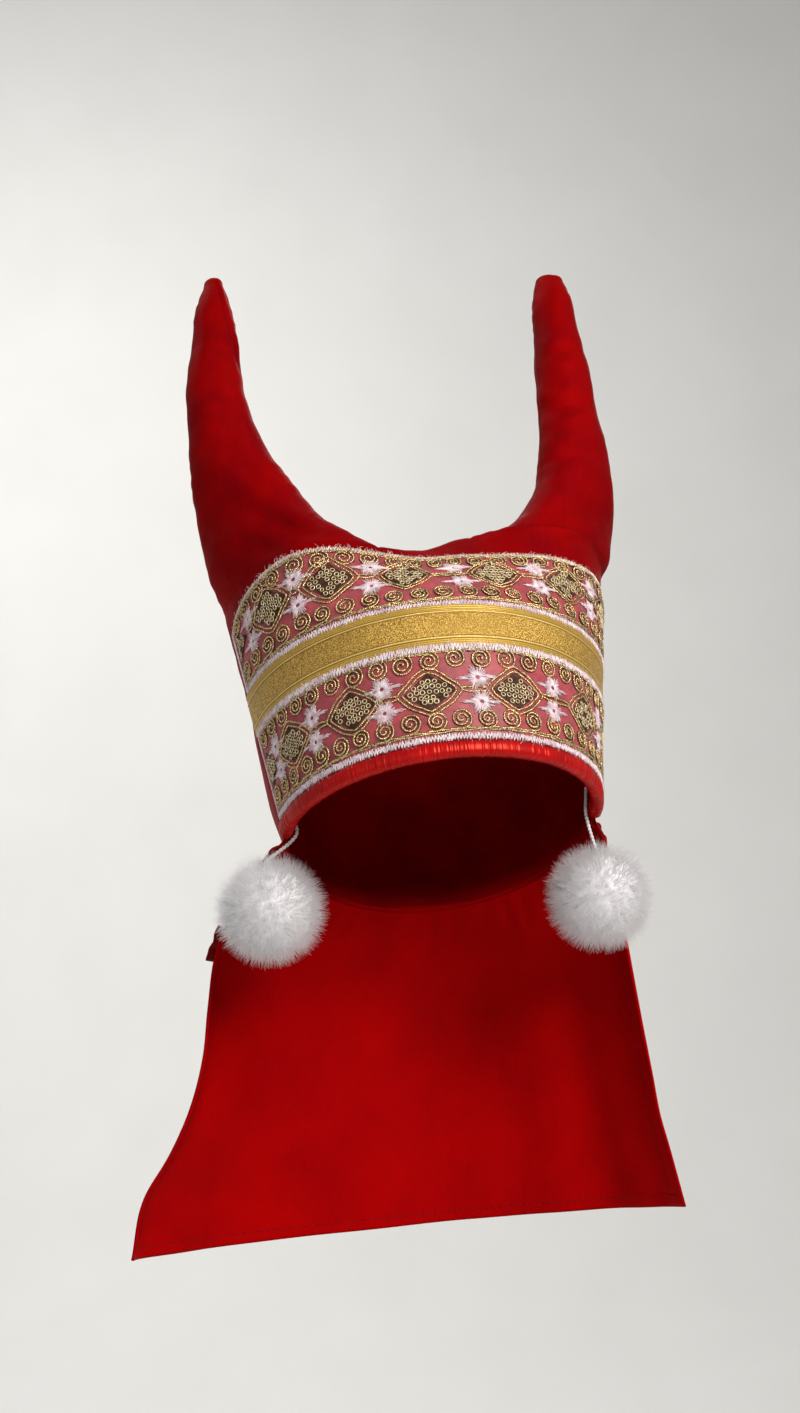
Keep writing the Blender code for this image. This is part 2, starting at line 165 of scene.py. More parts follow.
def worn(points):
    x, y, z = np.moveaxis(np.asarray(points, float), -1, 0)
    c, s = cos(form["tilt"]), sin(form["tilt"])
    return np.stack([x, y * c + z * s, z * c - y * s], -1)


def lean(angle, height):
    flare = form["frontFlare"] + (form["sideFlare"] - form["frontFlare"]) * np.sin(angle) ** 2
    reach = np.where(angle > 0, form["leanRight"], form["leanLeft"])
    share = np.where(np.abs(angle) < reach, np.cos(angle / reach * pi / 2) ** 2, 0.0)
    rise = ease((height - form["leanFrom"]) / (form["leanTo"] - form["leanFrom"]))
    return flare - form["leanBack"] * share * rise


def wall(angle, height, out=0.0):
    angle, height, out = np.broadcast_arrays(*(np.asarray(v, float) for v in (angle, height, out)))
    a, b = form["halfWidth"], form["halfDepth"]
    radius = a * b / np.hypot(b * np.sin(angle), a * np.cos(angle))
    level = np.zeros_like(radius)
    for k in range(30):
        slope = lean(angle, height * (k + 0.5) / 30)
        radius = radius + np.sin(slope) * height / 30
        level = level + np.cos(slope) * height / 30
    slope = lean(angle, height)
    radius = radius + out * np.cos(slope)
    level = level - out * np.sin(slope)
    return np.stack([radius * np.sin(angle), -radius * np.cos(angle), level], -1)


def columnAngle(column):
    h = form["hornColumns"]
    ends = (-form["seam"], -form["hornStartLeft"], form["hornStartRight"], form["seam"])
    return np.interp(column, (0, h, lastColumn - h, lastColumn), ends)


# Top line of the front wall between the horns: degrees round, height.
valleyTops = [
    (-19, 0.1318), (-12, 0.1342), (-6, 0.1366), (0, 0.1392), (6, 0.1415), (12, 0.1425), (18, 0.1412),
]


def topHeight(angle):
    return smoothRows(valleyTops, np.clip(np.degrees(angle), valleyTops[0][0], valleyTops[-1][0]))[..., 1]


def baseDepth(column):
    share = np.minimum(column, lastColumn - column) / form["hornColumns"]
    depth = form["baseDepth"] * np.sin(pi * np.clip(share, 0, 1)) ** 0.8
    return np.where((share > 0) & (share < 1), depth, 0.0)


def inward(angle):
    return np.stack([-np.sin(angle), np.cos(angle), np.zeros_like(angle)], -1)


def hoodArc(side, across, along):
    middle = np.vstack([hoodMiddle, wall(0.0, form["valleyTop"])[1:]])
    keys = np.concatenate([[0], np.cumsum(np.hypot(*np.diff(middle, axis=0).T))])
    at = smoothRows(np.column_stack([keys / keys[-1], middle]), along)
    y, z = at[..., 1], at[..., 2]
    turn = np.asarray(across) * pi / 2
    bulge = form["hoodBulge"] * np.sin(pi * np.minimum(1.0, (1 - np.abs(across)) / 0.55))
    bulge = bulge * ease(along / 0.2) * (1 - ease((along - 0.75) / 0.25))
    return np.stack(
        [
            np.abs(side[..., 0]) * np.sin(turn) + np.sign(across) * bulge,
            side[..., 1] + (y - side[..., 1]) * np.cos(turn),
            side[..., 2] + (z - side[..., 2]) * np.cos(turn),
        ],
        -1,
    )


# Mesh helpers.
def gridFaces(rows, columns, start=0, flip=False):
    r, c = np.meshgrid(np.arange(rows - 1), np.arange(columns - 1), indexing="ij")
    a = (start + r * columns + c).ravel()
    quads = np.stack([a, a + 1, a + columns + 1, a + columns], -1)
    return quads[:, ::-1] if flip else quads


def meshObject(name, points, faces, material=None, uv=None, smooth=True, edges=()):
    mesh = bpy.data.meshes.new(name)
    points = np.asarray(points, float).reshape(-1, 3)
    mesh.from_pydata(points.tolist(), [tuple(e) for e in edges], [list(map(int, f)) for f in faces])
    if uv is not None:
        layer = mesh.uv_layers.new(name="UVMap")
        corner = np.empty(len(mesh.loops), np.int32)
        mesh.loops.foreach_get("vertex_index", corner)
        layer.data.foreach_set("uv", np.asarray(uv, np.float32)[corner].ravel())
    if material:
        mesh.materials.append(material)
    if smooth and len(faces):
        mesh.shade_smooth()
    thing = bpy.data.objects.new(name, mesh)
    bpy.context.scene.collection.objects.link(thing)
    return thing


def welded(thing, distance=1e-5):
    bm = bmesh.new()
    bm.from_mesh(thing.data)
    bmesh.ops.remove_doubles(bm, verts=bm.verts, dist=distance)
    bmesh.ops.recalc_face_normals(bm, faces=bm.faces)
    bm.to_mesh(thing.data)
    bm.free()
    return thing


def vertexArrays(thing):
    count = len(thing.data.vertices)
    places, normals = np.empty(count * 3), np.empty(count * 3)
    thing.data.vertices.foreach_get("co", places)
    thing.data.vertices.foreach_get("normal", normals)
    return places.reshape(-1, 3), normals.reshape(-1, 3)


def shift(thing, places):
    thing.data.vertices.foreach_set("co", places.ravel())
    thing.data.update()


def rough(places, size, seed=0.0):
    return np.array([noise.noise(Vector(p) / size + Vector((seed, seed, seed))) for p in places])


def slab(name, outside, inside, material, uv):
    rows, columns = outside.shape[:2]
    count = rows * columns
    border = np.concatenate(
        [
            np.arange(columns - 1),
            np.arange(rows - 1) * columns + columns - 1,
            count - 1 - np.arange(columns - 1),
            np.arange(rows - 1, 0, -1) * columns,
        ]
    )
    after = np.roll(border, -1)
    rims = np.stack([border, border + count, after + count, after], -1)
    faces = np.vstack([gridFaces(rows, columns), gridFaces(rows, columns, count, True), rims])
    both = np.vstack([outside.reshape(-1, 3), inside.reshape(-1, 3)])
    thing = meshObject(name, both, faces, material, np.vstack([uv.reshape(-1, 2)] * 2))
    bm = bmesh.new()
    bm.from_mesh(thing.data)
    bmesh.ops.recalc_face_normals(bm, faces=bm.faces)
    bm.to_mesh(thing.data)
    bm.free()
    return thing


def finished(thing, node, slot):
    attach(thing, "root")
    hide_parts(node)
    return thing


# Node helpers.
def put(tree, socket, value):
    if isinstance(value, bpy.types.NodeSocket):
        tree.links.new(value, socket)
    else:
        socket.default_value = value


def add(tree, kind, sockets=None, **settings):
    made = tree.nodes.new(kind)
    for key, value in settings.items():
        setattr(made, key, value)
    for key, value in (sockets or {}).items():
        put(tree, made.inputs[key], value)
    return made


def blendColours(tree, share, first, second, kind="MIX"):
    mix = add(tree, "ShaderNodeMix", data_type="RGBA", blend_type=kind)
    put(tree, mix.inputs[0], share)
    for socket, value in ((mix.inputs[6], first), (mix.inputs[7], second)):
        put(tree, socket, value if isinstance(value, bpy.types.NodeSocket) else (*value, 1.0))
    return mix.outputs[2]


def ramp(tree, value, low, high):
    return add(tree, "ShaderNodeMapRange", {"Value": value, "From Min": low, "From Max": high}).outputs[0]


def remapped(tree, value, low, high):
    return add(tree, "ShaderNodeMapRange", {"Value": value, "To Min": low, "To Max": high}).outputs[0]


def maths(tree, kind, first, second=0.0):
    made = add(tree, "ShaderNodeMath", operation=kind)
    put(tree, made.inputs[0], first)
    put(tree, made.inputs[1], second)
    return made.outputs[0]


def flecked(tree, tone, colour, value, low, high, share):
    return blendColours(tree, maths(tree, "MULTIPLY", ramp(tree, value, low, high), share), tone, colour)


def newMaterial(name):
    material = bpy.data.materials.new(name)
    material.use_nodes = True
    return material, material.node_tree, material.node_tree.nodes["Principled BSDF"]


def setSockets(shader, values):
    for title, value in values.items():
        shader.inputs[title].default_value = value


def stretched(tree, vector, scale):
    return add(tree, "ShaderNodeMapping", {"Vector": vector, "Scale": scale}).outputs[0]


def noiseAt(tree, vector, scale, detail=2.0, roughness=0.5):
    sockets = {"Vector": vector, "Scale": scale, "Detail": detail, "Roughness": roughness}
    return add(tree, "ShaderNodeTexNoise", sockets).outputs[0]


def waveAt(tree, vector, pitch, axis, distortion=0.0):
    sockets = {"Vector": vector, "Scale": 0.314 / pitch, "Distortion": distortion}
    return add(tree, "ShaderNodeTexWave", sockets, bands_direction=axis).outputs[1]


def bumped(tree, shader, *layers):
    last = None
    for height, distance, strength in layers:
        bump = add(tree, "ShaderNodeBump", {"Height": height, "Distance": distance, "Strength": strength})
        if last:
            tree.links.new(last, bump.inputs["Normal"])
        last = bump.outputs[0]
    tree.links.new(last, shader.inputs["Normal"])


def cottonSateen(name, look):
    material, tree, shader = newMaterial(name)
    coordinate = add(tree, "ShaderNodeTexCoord")
    uv, place = coordinate.outputs["UV"], coordinate.outputs["Object"]
    # Random patches of the shade tone are painted shade, and flecks of the light tone along the slubs are
    # painted sheen.
    drift = noiseAt(tree, place, 28.0, 3.0)
    slubAndSheen = noiseAt(tree, stretched(tree, uv, (900, 90, 1)), 1.0, 2.0)
    tone = blendColours(tree, ramp(tree, drift, 0.32, 0.68), look["shade"], look["colour"])
    tone = flecked(tree, tone, look["light"], slubAndSheen, 0.3, 0.7, 0.22)
    warp, weft = waveAt(tree, uv, look["pitch"], "X"), waveAt(tree, uv, look["pitch"] * 1.3, "Y")
    weave = maths(tree, "MULTIPLY", warp, weft)
    crumple = noiseAt(tree, place, look["crumpleScale"], 3.0, 0.45)
    tree.links.new(tone, shader.inputs["Base Color"])
    dull = maths(tree, "ADD", maths(tree, "MULTIPLY", slubAndSheen, 0.12), look["roughness"] - 0.06)
    tree.links.new(dull, shader.inputs["Roughness"])
    setSockets(
        shader,
        {
            "Specular IOR Level": look["specular"],
            "Specular Tint": (1.0, 0.25, 0.2, 1.0),
            "Metallic": look["metallic"],
        },
    )
    bumped(tree, shader, (crumple, look["crumple"], 1.0), (weave, look["pitch"] * 0.35, 0.6))
    return material


# Shade and light here are painted shade and painted sheen over the cloth's own red.
crownCloth = cottonSateen(
    "crownSateen",
    {
        "colour": (0.255, 0.0006, 0.0012),
        "shade": (0.162, 0.0004, 0.0022),
        "light": (0.32, 0.0010, 0.0012),
        "pitch": 0.00042,
        "roughness": 0.48,
        "specular": 0.03,
        "metallic": 0.22,
        "crumpleScale": 60.0,
        "crumple": 0.0016,
    },
)

# Creases pressed into the crown, as seen from the front: ends x, z, width, depth.
crownCreases = [
    (-0.092, 0.158, -0.050, 0.118, 0.0050, 0.0016),
    (-0.100, 0.182, -0.062, 0.150, 0.0060, 0.0014),
    (-0.085, 0.132, -0.040, 0.112, 0.0035, 0.0009),
    (-0.104, 0.215, -0.082, 0.190, 0.0050, 0.0010),
    (-0.112, 0.250, -0.090, 0.238, 0.0045, 0.0007),
    (-0.108, 0.278, -0.094, 0.270, 0.0030, 0.0006),
    (0.058, 0.130, 0.092, 0.150, 0.0045, 0.0012),
    (0.066, 0.160, 0.104, 0.168, 0.0060, 0.0012),
    (0.074, 0.196, 0.108, 0.203, 0.0055, 0.0010),
    (0.078, 0.228, 0.106, 0.232, 0.0045, 0.0008),
    (0.082, 0.262, 0.104, 0.268, 0.0045, 0.0008),
    (0.030, 0.118, 0.060, 0.122, 0.0035, 0.0008),
    (-0.0985, 0.323, -0.0940, 0.296, 0.0011, 0.0009),
    (-0.0940, 0.298, -0.0885, 0.262, 0.0012, 0.0009),
]

# How creases, dents, seams and the puckers beside them press into the crown.
creaseMake = {
    "depth": 1.5,
    "lip": 0.6,
    "lipAt": 1.8,
    "dents": ((0.0011, 0.030, 0.0), (0.0005, 0.011, 3.0)),  # depth, size, seed
    "groove": (0.0004, 0.0010),  # depth, width
    "pucker": 0.00028,
    "puckerPitch": 0.0113,
    "puckerAt": 0.003,
    "puckerWidth": 0.0045,
    "seamReach": 0.012,
}
crownMake = {"perColumn": 8, "wallRows": 84, "liningRows": 20, "hornRows": 72, "tipRows": 8}
# Heights and widths of the cloth pattern where the wall ends and the horns begin.
crownUv = {"wallTop": 0.137, "hornTop": 0.33, "hornRound": 0.16}


def crownSheets(perColumn, rows):
    columns = np.linspace(0, lastColumn, lastColumn * perColumn + 1)
    angles = columnAngle(columns)
    share = np.linspace(0, 1, rows + 1)[:, None]
    tops = topHeight(angles)[None, :]
    front = wall(angles[None, :] * np.ones_like(share), share * tops)
    side = front[:, :1]
    across = angles / form["seam"]
    along = share * np.ones_like(tops)
    pull = ease((along - 0.4) / 0.6)[..., None]
    top = front[-1] + inward(angles) * baseDepth(columns)[:, None]
    full = hoodArc(front[-1:, :1], across, 1.0 + 0 * along[-1:])
    back = hoodArc(side, across, along) + pull * (top - full)
    back[:, 0], back[:, -1] = front[:, 0], front[:, -1]
    return columns, angles, front, back


def hornSection(table, side, height, column):
    at = smoothRows(table, height)
    inner, outer, y, thick, turn = (at[..., k] for k in range(1, 6))
    turn = np.radians(turn)
    chord = np.stack([side * np.cos(turn), np.sin(turn), 0 * turn], -1)
    face = np.stack([side * np.sin(turn), -np.cos(turn), 0 * turn], -1)
    phase = pi * column / form["hornColumns"]
    middle = np.stack([side * (inner + outer) / 2, y, height], -1)
    point = middle + chord * (np.cos(phase) * (outer - inner) / 2 / np.cos(turn))[..., None]
    bulge = face * (np.sin(phase) * thick / 2)[..., None]
    return point + bulge, point - bulge


def hornRings(side, columns, front, back):
    table = hornTables[side]
    picked = columns <= form["hornColumns"] if side < 0 else columns >= lastColumn - form["hornColumns"]
    local = columns[picked] if side < 0 else (lastColumn - columns[picked])[::-1]
    feet = [sheet[-1][picked] if side < 0 else sheet[-1][picked][::-1] for sheet in (front, back)]
    low, high = table[0][0], table[-1][0]
    coarse = [np.concatenate([feet[0], feet[1][-2:0:-1]])]
    for r in range(1, form["hornRows"] + 1):
        height = low + (high - low) * (r / form["hornRows"]) ** 1.25
        hold = 1 - ease((height - low) / 0.034)
        halves = []
        for foot, place in zip(feet, hornSection(table, side, height + 0 * local, local)):
            blend = foot + (place - foot) * np.array([1.0, 0.6, 1.0])
            halves.append(place + hold * (blend - place))
        coarse.append(np.concatenate([halves[0], halves[1][-2:0:-1]]))
    coarse = np.array(coarse)
    keys = np.arange(len(coarse), dtype=float)
    fine = np.linspace(0, keys[-1], crownMake["hornRows"] + 1)
    rings = smoothRows(np.column_stack([keys, coarse.reshape(len(keys), -1)]), fine)[:, 1:]
    rings = rings.reshape(len(fine), -1, 3)
    tip = np.array([side * hornTips[side][0], table[-1][3], hornTips[side][1]])
    middle = rings[-1].mean(0)
    turns = np.linspace(0, pi / 2, crownMake["tipRows"] + 1)[1:-1]
    caps = [middle + (rings[-1] - middle) * cos(t) + (tip - middle) * sin(t) for t in turns]
    return np.concatenate([rings, caps]), tip


def ringFaces(start, rows, size, flip):
    r, c = np.meshgrid(np.arange(rows - 1), np.arange(size), indexing="ij")
    a, b = (start + r * size + c).ravel(), (start + r * size + (c + 1) % size).ravel()
    quads = np.stack([a, b, b + size, a + size], -1)
    return quads[:, ::-1] if flip else quads


def buildCrown():
    columns, angles, front, back = crownSheets(crownMake["perColumn"], crownMake["wallRows"])
    arc = np.concatenate([[0], np.cumsum(np.linalg.norm(np.diff(front[20], axis=0), axis=1))])
    points, faces, uv = [], [], []
    total = 0

    def take(grid, coordinates, quads):
        nonlocal total
        points.append(worn(grid).reshape(-1, 3))
        uv.append(np.asarray(coordinates).reshape(-1, 2))
        faces.append(quads + total)
        total += len(points[-1])

    rows, wide = front.shape[:2]
    rise = np.linspace(0, crownUv["wallTop"], rows)[:, None] * np.ones(wide)
    sheetUv = np.stack([arc[None, :] * np.ones((rows, 1)), rise], -1)
    take(front, sheetUv, gridFaces(rows, wide))
    take(back, sheetUv + [0.5, 0], gridFaces(rows, wide, 0, True))
    step = max(1, (rows - 1) // crownMake["liningRows"])
    reach, climb = np.gradient(back, axis=1), np.gradient(back, axis=0)
    normal = np.cross(reach, climb)
    normal /= np.linalg.norm(normal, axis=2, keepdims=True) + 1e-12
    normal *= np.sign(normal[rows // 3, wide // 2, 1] * -1)
    innerBack = back + normal * form["hoodThick"]
    heights = np.linspace(0, 1, rows)[:, None] * topHeight(angles)[None, :]
    innerFront = wall(angles[None, :] + 0 * heights, heights, -form["wallThick"])
    roof = front[-1] + inward(angles) * np.maximum(0.0045, baseDepth(columns) / 2)[:, None] - [0, 0, 0.0065]
    innerFront[-1] = innerBack[-1] = roof
    innerBack[:, 0], innerBack[:, -1] = innerFront[:, 0], innerFront[:, -1]
    picked = list(range(0, rows - 1, step)) + [rows - 1]
    for k, (outer, inner) in enumerate(((front, innerFront), (back, innerBack))):
        flip = k == 0
        take(inner[picked], sheetUv[picked] + [1.0 + k * 0.5, 0], gridFaces(len(picked), wide, 0, flip))
        take(np.stack([outer[0], inner[0]]), sheetUv[:2] + [2.0, k * 0.2], gridFaces(2, wide, 0, k == 1))
    for side in (-1, 1):
        rings, tip = hornRings(side, columns, front, back)
        size = rings.shape[1]
        around = np.linspace(0, crownUv["hornRound"], size)[None, :] * np.ones((len(rings), 1))
        up = np.linspace(crownUv["wallTop"], crownUv["hornTop"], len(rings))[:, None] * np.ones(size)
        take(rings, np.stack([around + side, up], -1), ringFaces(0, len(rings), size, side > 0))
        last = np.vstack([rings[-1], tip])
        fan = np.array([[k, (k + 1) % size, size, size] for k in range(size)])
        take(last, np.tile([side, crownUv["hornTop"]], (size + 1, 1)), fan)
    quads = np.vstack(faces)
    trimmed = [q[:3] if q[2] == q[3] else q for q in quads.tolist()]
    crown = meshObject("crownCloth", np.vstack(points), trimmed, crownCloth, np.vstack(uv))
    welded(crown, 4e-6)
    creaseCrown(crown, columns, front, back)
    return crown


def seamLines(columns, front, back):
    lines = []
    for side in (-1, 1):
        rings, tip = hornRings(side, columns, front, back)
        half = form["hornColumns"] * crownMake["perColumn"]
        lines += [np.vstack([rings[:, 0], tip]), np.vstack([rings[:, half], tip])]
    first = form["hornColumns"] * crownMake["perColumn"]
    lines.append(front[-1, first : front.shape[1] - first])
    lines += [front[:, 0], front[:, -1]]
    return [worn(line) for line in lines]


def creaseCrown(crown, columns, front, back):
    make = creaseMake
    places, normals = vertexArrays(crown)
    push = np.zeros(len(places))
    covered = pointTree(tapeCover())
    clear = np.array([covered.find(p)[2] for p in places])
    clear = ease((clear - 0.002) / 0.010)
    facing = np.clip(-normals[:, 1] * 3, 0, 1)
    flat = places[:, [0, 2]]
    for x0, z0, x1, z1, width, depth in crownCreases:
        a, b = np.array([x0, z0]), np.array([x1, z1])
        t = np.clip((flat - a) @ (b - a) / ((b - a) @ (b - a)), 0, 1)
        away = np.linalg.norm(flat - a - t[:, None] * (b - a), axis=1)
        lip = np.exp(-(((away - make["lipAt"] * width) / width) ** 2))
        dent = np.exp(-((away / width) ** 2)) * np.sin(pi * (0.12 + 0.76 * t))
        push -= facing * make["depth"] * depth * dent
        push += facing * make["lip"] * depth * lip * np.sin(pi * t)
    free = ease((places[:, 2] - 0.118) / 0.02)
    backwards = np.clip(normals[:, 1] * 2, 0, 1) * ease((places[:, 2] - 0.01) / 0.03)
    for depth, size, seed in make["dents"]:
        push += depth * rough(places, size, seed) * np.maximum(free, backwards)
    push *= clear
    for line in seamLines(columns, front, back):
        length = np.concatenate([[0], np.cumsum(np.linalg.norm(np.diff(line, axis=0), axis=1))])
        even = np.linspace(0, length[-1], int(length[-1] / 0.0006))
        tree = pointTree(np.column_stack([np.interp(even, length, line[:, k]) for k in range(3)]))
        for k, p in enumerate(places):
            found = tree.find(p)
            if found[2] < make["seamReach"]:
                near, along = found[2], even[found[1]]
                push[k] -= make["groove"][0] * np.exp(-((near / make["groove"][1]) ** 2))
                wave = sin(2 * pi * along / make["puckerPitch"] + 3.4 * sin(along / 0.0137))
                wave = wave * (0.5 + 0.5 * sin(along / 0.0091))
                beside = np.exp(-(((near - make["puckerAt"]) / make["puckerWidth"]) ** 2))
                push[k] += make["pucker"] * clear[k] * wave * beside
    shift(crown, places + normals * push[:, None])


def tapeCover():
    angles, heights = np.linspace(-1.42, 1.42, 240)[None, :], np.linspace(0.002, 0.1290, 90)[:, None]
    return worn(wall(angles, heights, 0.0003)).reshape(-1, 3)


def pointTree(points):
    tree = KDTree(len(points))
    for k, p in enumerate(points):
        tree.insert(p, k)
    tree.balance()
    return tree


crown = buildCrown()
finished(crown, "horned_crown", "crown_cloth")
print("stage: crown", len(crown.data.polygons))

# Tapes: lower edge, upper edge, end angle.
tapes = {
    "lower": (0.0062, 0.0557, radians(82)),
    "gold": (0.0562, 0.0782, radians(84)),
    "upper": (0.0787, 0.1285, radians(81)),
}
arcAngles = np.linspace(radians(-90), radians(90), 721)
arcLine = wall(arcAngles, 0.03)
arcLengths = np.concatenate([[0], np.cumsum(np.linalg.norm(np.diff(arcLine, axis=0), axis=1))])
arcLengths -= arcLengths[len(arcAngles) // 2]


def tapeAngle(s):
    return np.interp(s, arcLengths, arcAngles)


def tapeSpan(angle):
    return np.interp(angle, arcAngles, arcLengths)


def onTape(s, v, out):
    return worn(wall(tapeAngle(s), v, out))


# Upper lace's top edge as it lies on the wall: degrees round, height.
laceTops = [
    (-81, 0.1130), (-75, 0.1180), (-69, 0.1213), (-62, 0.1240), (-54, 0.1262), (-44, 0.1278), (-33, 0.1268),
    (-22, 0.1246), (-10, 0.1246), (0, 0.1252), (8, 0.1252), (14, 0.1236), (20, 0.1212), (30, 0.1198),
    (50, 0.1200), (62, 0.1206), (71, 0.1186), (77, 0.1130), (81, 0.1060),
]


def cornerDrop(angle, v):
    low, high, end = tapes["upper"]
    share = np.clip((v - low) / (high - low), 0, 1.08)
    return (high - smoothRows(laceTops, np.degrees(angle))[..., 1]) * share**1.8


def tapeGrid(size, columns, rows, rounded=False):
    low, high, end = size
    angle = np.linspace(-end, end, columns)[None, :]
    share = np.linspace(0, 1, rows)[:, None]
    v = low + (high - low) * share + 0 * angle
    if rounded:
        v = v - cornerDrop(angle + 0 * v, v)
    angle = angle + 0 * v
    uv = np.stack([tapeSpan(angle), v], -1)
    return angle, v, uv


def laceNet(name, look):
    material, tree, shader = newMaterial(name)
    uv = add(tree, "ShaderNodeTexCoord").outputs["UV"]
    # Random patches of the dark shade tone are painted shade, and flecks of the light tone are painted
    # sheen.
    drift = noiseAt(tree, uv, 70.0, 3.0)
    sheenFlecks = noiseAt(tree, uv, 340.0, 2.0)
    net = None
    for turn in (look["turn"], -look["turn"]):
        laid = add(tree, "ShaderNodeMapping", {"Vector": uv, "Rotation": (0, 0, turn)}).outputs[0]
        threads = ramp(tree, waveAt(tree, laid, look["mesh"], "X", 0.6), 0.62, 0.80)
        net = maths(tree, "MAXIMUM", net, threads) if net else threads
    net = maths(tree, "SUBTRACT", 1.0, net)
    tone = blendColours(tree, ramp(tree, drift, 0.35, 0.65), look["shade"], look["colour"])
    tone = flecked(tree, tone, look["light"], sheenFlecks, 0.35, 0.75, 0.45)
    # The net's threads take the light tone: their own paler colour and a painted sheen in one.
    threaded = maths(tree, "MULTIPLY", maths(tree, "SUBTRACT", 1.0, net), 0.5)
    tone = blendColours(tree, threaded, tone, look["light"])
    tree.links.new(tone, shader.inputs["Base Color"])
    setSockets(
        shader,
        {
            "Roughness": 0.5,
            "Specular IOR Level": 0.45,
            "Sheen Weight": 0.35,
            "Sheen Roughness": 0.35,
            "Sheen Tint": (1.0, 0.62, 0.66, 1.0),
        },
    )
    bumped(tree, shader, (drift, 0.0008, 0.8), (maths(tree, "SUBTRACT", 1.0, net), 0.00012, 0.7))
    return material


laceGround = laceNet(
    "laceNet",
    {
        "colour": (0.33, 0.020, 0.030),
        "shade": (0.10, 0.006, 0.009),
        "light": (0.50, 0.10, 0.12),
        "mesh": 0.00095,
        "turn": radians(32),
    },
)
laceMake = {"thick": 0.00085, "under": 0.0002, "swell": 0.00025, "swellAlong": 0.031, "swellUp": 0.027}


def buildLace(name, size, node, rounded):
    make = laceMake
    angle, v, uv = tapeGrid(size, 420, 60, rounded)
    swell = make["swell"] * np.sin(uv[..., 0] * 2 * pi / make["swellAlong"])
    swell = swell * np.sin(v * 2 * pi / make["swellUp"])
    outside = worn(wall(angle, v, make["thick"] + swell))
    inside = worn(wall(angle, v, make["under"]))
    return finished(slab(name, outside, inside, laceGround, uv), node, node)


galloonMake = {
    "weave": (0.82, 0.55, 0.13),
    "weaveDark": (0.26, 0.12, 0.014),
    "weaveMid": (0.62, 0.38, 0.06),
    "margin": (0.66, 0.42, 0.075),
    "ribGrooveShade": (0.30, 0.15, 0.015),
    # Lines along each edge: the bright one is a painted highlight on the raised cord line, the dark ones
    # beside it painted shade.
    "lines": ((0.0047, (0.20, 0.09, 0.01)), (0.0033, (0.20, 0.09, 0.01)), (0.0040, (0.95, 0.74, 0.26))),
    "cells": 1900.0,
    "warp": 0.00075,
    "rib": 0.0011,
    "overlap": 0.0006,
    "under": 0.0009,
    "face": 0.00145,
}


def galloonMaterial():
    make = galloonMake
    material, tree, shader = newMaterial("galloonWeave")
    uv = add(tree, "ShaderNodeTexCoord").outputs["UV"]
    low, high = tapes["gold"][:2]
    split = add(tree, "ShaderNodeSeparateXYZ", {"Vector": uv})
    v = split.outputs[1]
    warp = waveAt(tree, uv, make["warp"], "X")
    cells = add(tree, "ShaderNodeTexVoronoi", {"Vector": uv, "Scale": make["cells"]}, feature="F1")
    speck = ramp(tree, cells.outputs["Distance"], 0.15, 0.75)
    drift = noiseAt(tree, uv, 60.0, 3.0)
    tone = blendColours(tree, ramp(tree, speck, 0.35, 0.75), make["weave"], make["weaveDark"])
    tone = blendColours(tree, maths(tree, "MULTIPLY", drift, 0.4), tone, make["weaveMid"])
    edge = maths(tree, "ABSOLUTE", maths(tree, "SUBTRACT", v, (low + high) / 2))
    half = (high - low) / 2
    rib = waveAt(tree, uv, make["rib"], "Y")
    margin = ramp(tree, edge, half - 0.0042, half - 0.0037)
    height = add(tree, "ShaderNodeMix", {"Factor": margin, "A": speck, "B": rib}).outputs[0]
    tone = blendColours(tree, maths(tree, "MULTIPLY", margin, 0.75), tone, make["margin"])
    # Painted shade in the grooves between the margin's ribs.
    grooveShade = maths(tree, "MULTIPLY", margin, ramp(tree, rib, 0.45, 0.1))
    tone = blendColours(tree, maths(tree, "MULTIPLY", grooveShade, 0.55), tone, make["ribGrooveShade"])
    # Painted highlight on each edge's cord line, painted shade on either side of it.
    for inset, colour in make["lines"]:
        away = maths(tree, "ABSOLUTE", maths(tree, "SUBTRACT", edge, half - inset))
        tone = flecked(tree, tone, colour, away, 0.00042, 0.0002, 0.7)
    tree.links.new(tone, shader.inputs["Base Color"])
    shader.inputs["Metallic"].default_value = 0.55
    tree.links.new(remapped(tree, speck, 0.34, 0.55), shader.inputs["Roughness"])
    bumped(tree, shader, (height, 0.00022, 0.9), (warp, 0.00006, 0.5))
    return material


def buildGalloon():
    make = galloonMake
    low, high, end = tapes["gold"]
    angle, v, uv = tapeGrid((low - make["overlap"], high + make["overlap"], end), 420, 44)
    half = (high - low) / 2
    edge = np.abs(v - (low + high) / 2)
    relief = 0.00028 * np.exp(-(((edge - half + 0.0040) / 0.00035) ** 2))  # the cord line inside each edge
    relief += 0.00025 * np.exp(-(((edge - half - 0.0002) / 0.00055) ** 2))  # the woven edge itself
    relief += 0.00018 * rough(np.dstack([uv * 1.0, 0 * v]).reshape(-1, 3), 0.012).reshape(v.shape)
    outside = worn(wall(angle, v, make["face"] + relief))
    inside = worn(wall(angle, v, make["under"]))
    galloon = slab("goldGalloon", outside, inside, galloonMaterial(), uv)
    return finished(galloon, "gold_ribbon", "gold_ribbon")


buildLace("upperLaceNet", tapes["upper"], "upper_lace", True)
buildLace("lowerLaceNet", tapes["lower"], "lower_lace", False)
buildGalloon()
print("stage: tapes")


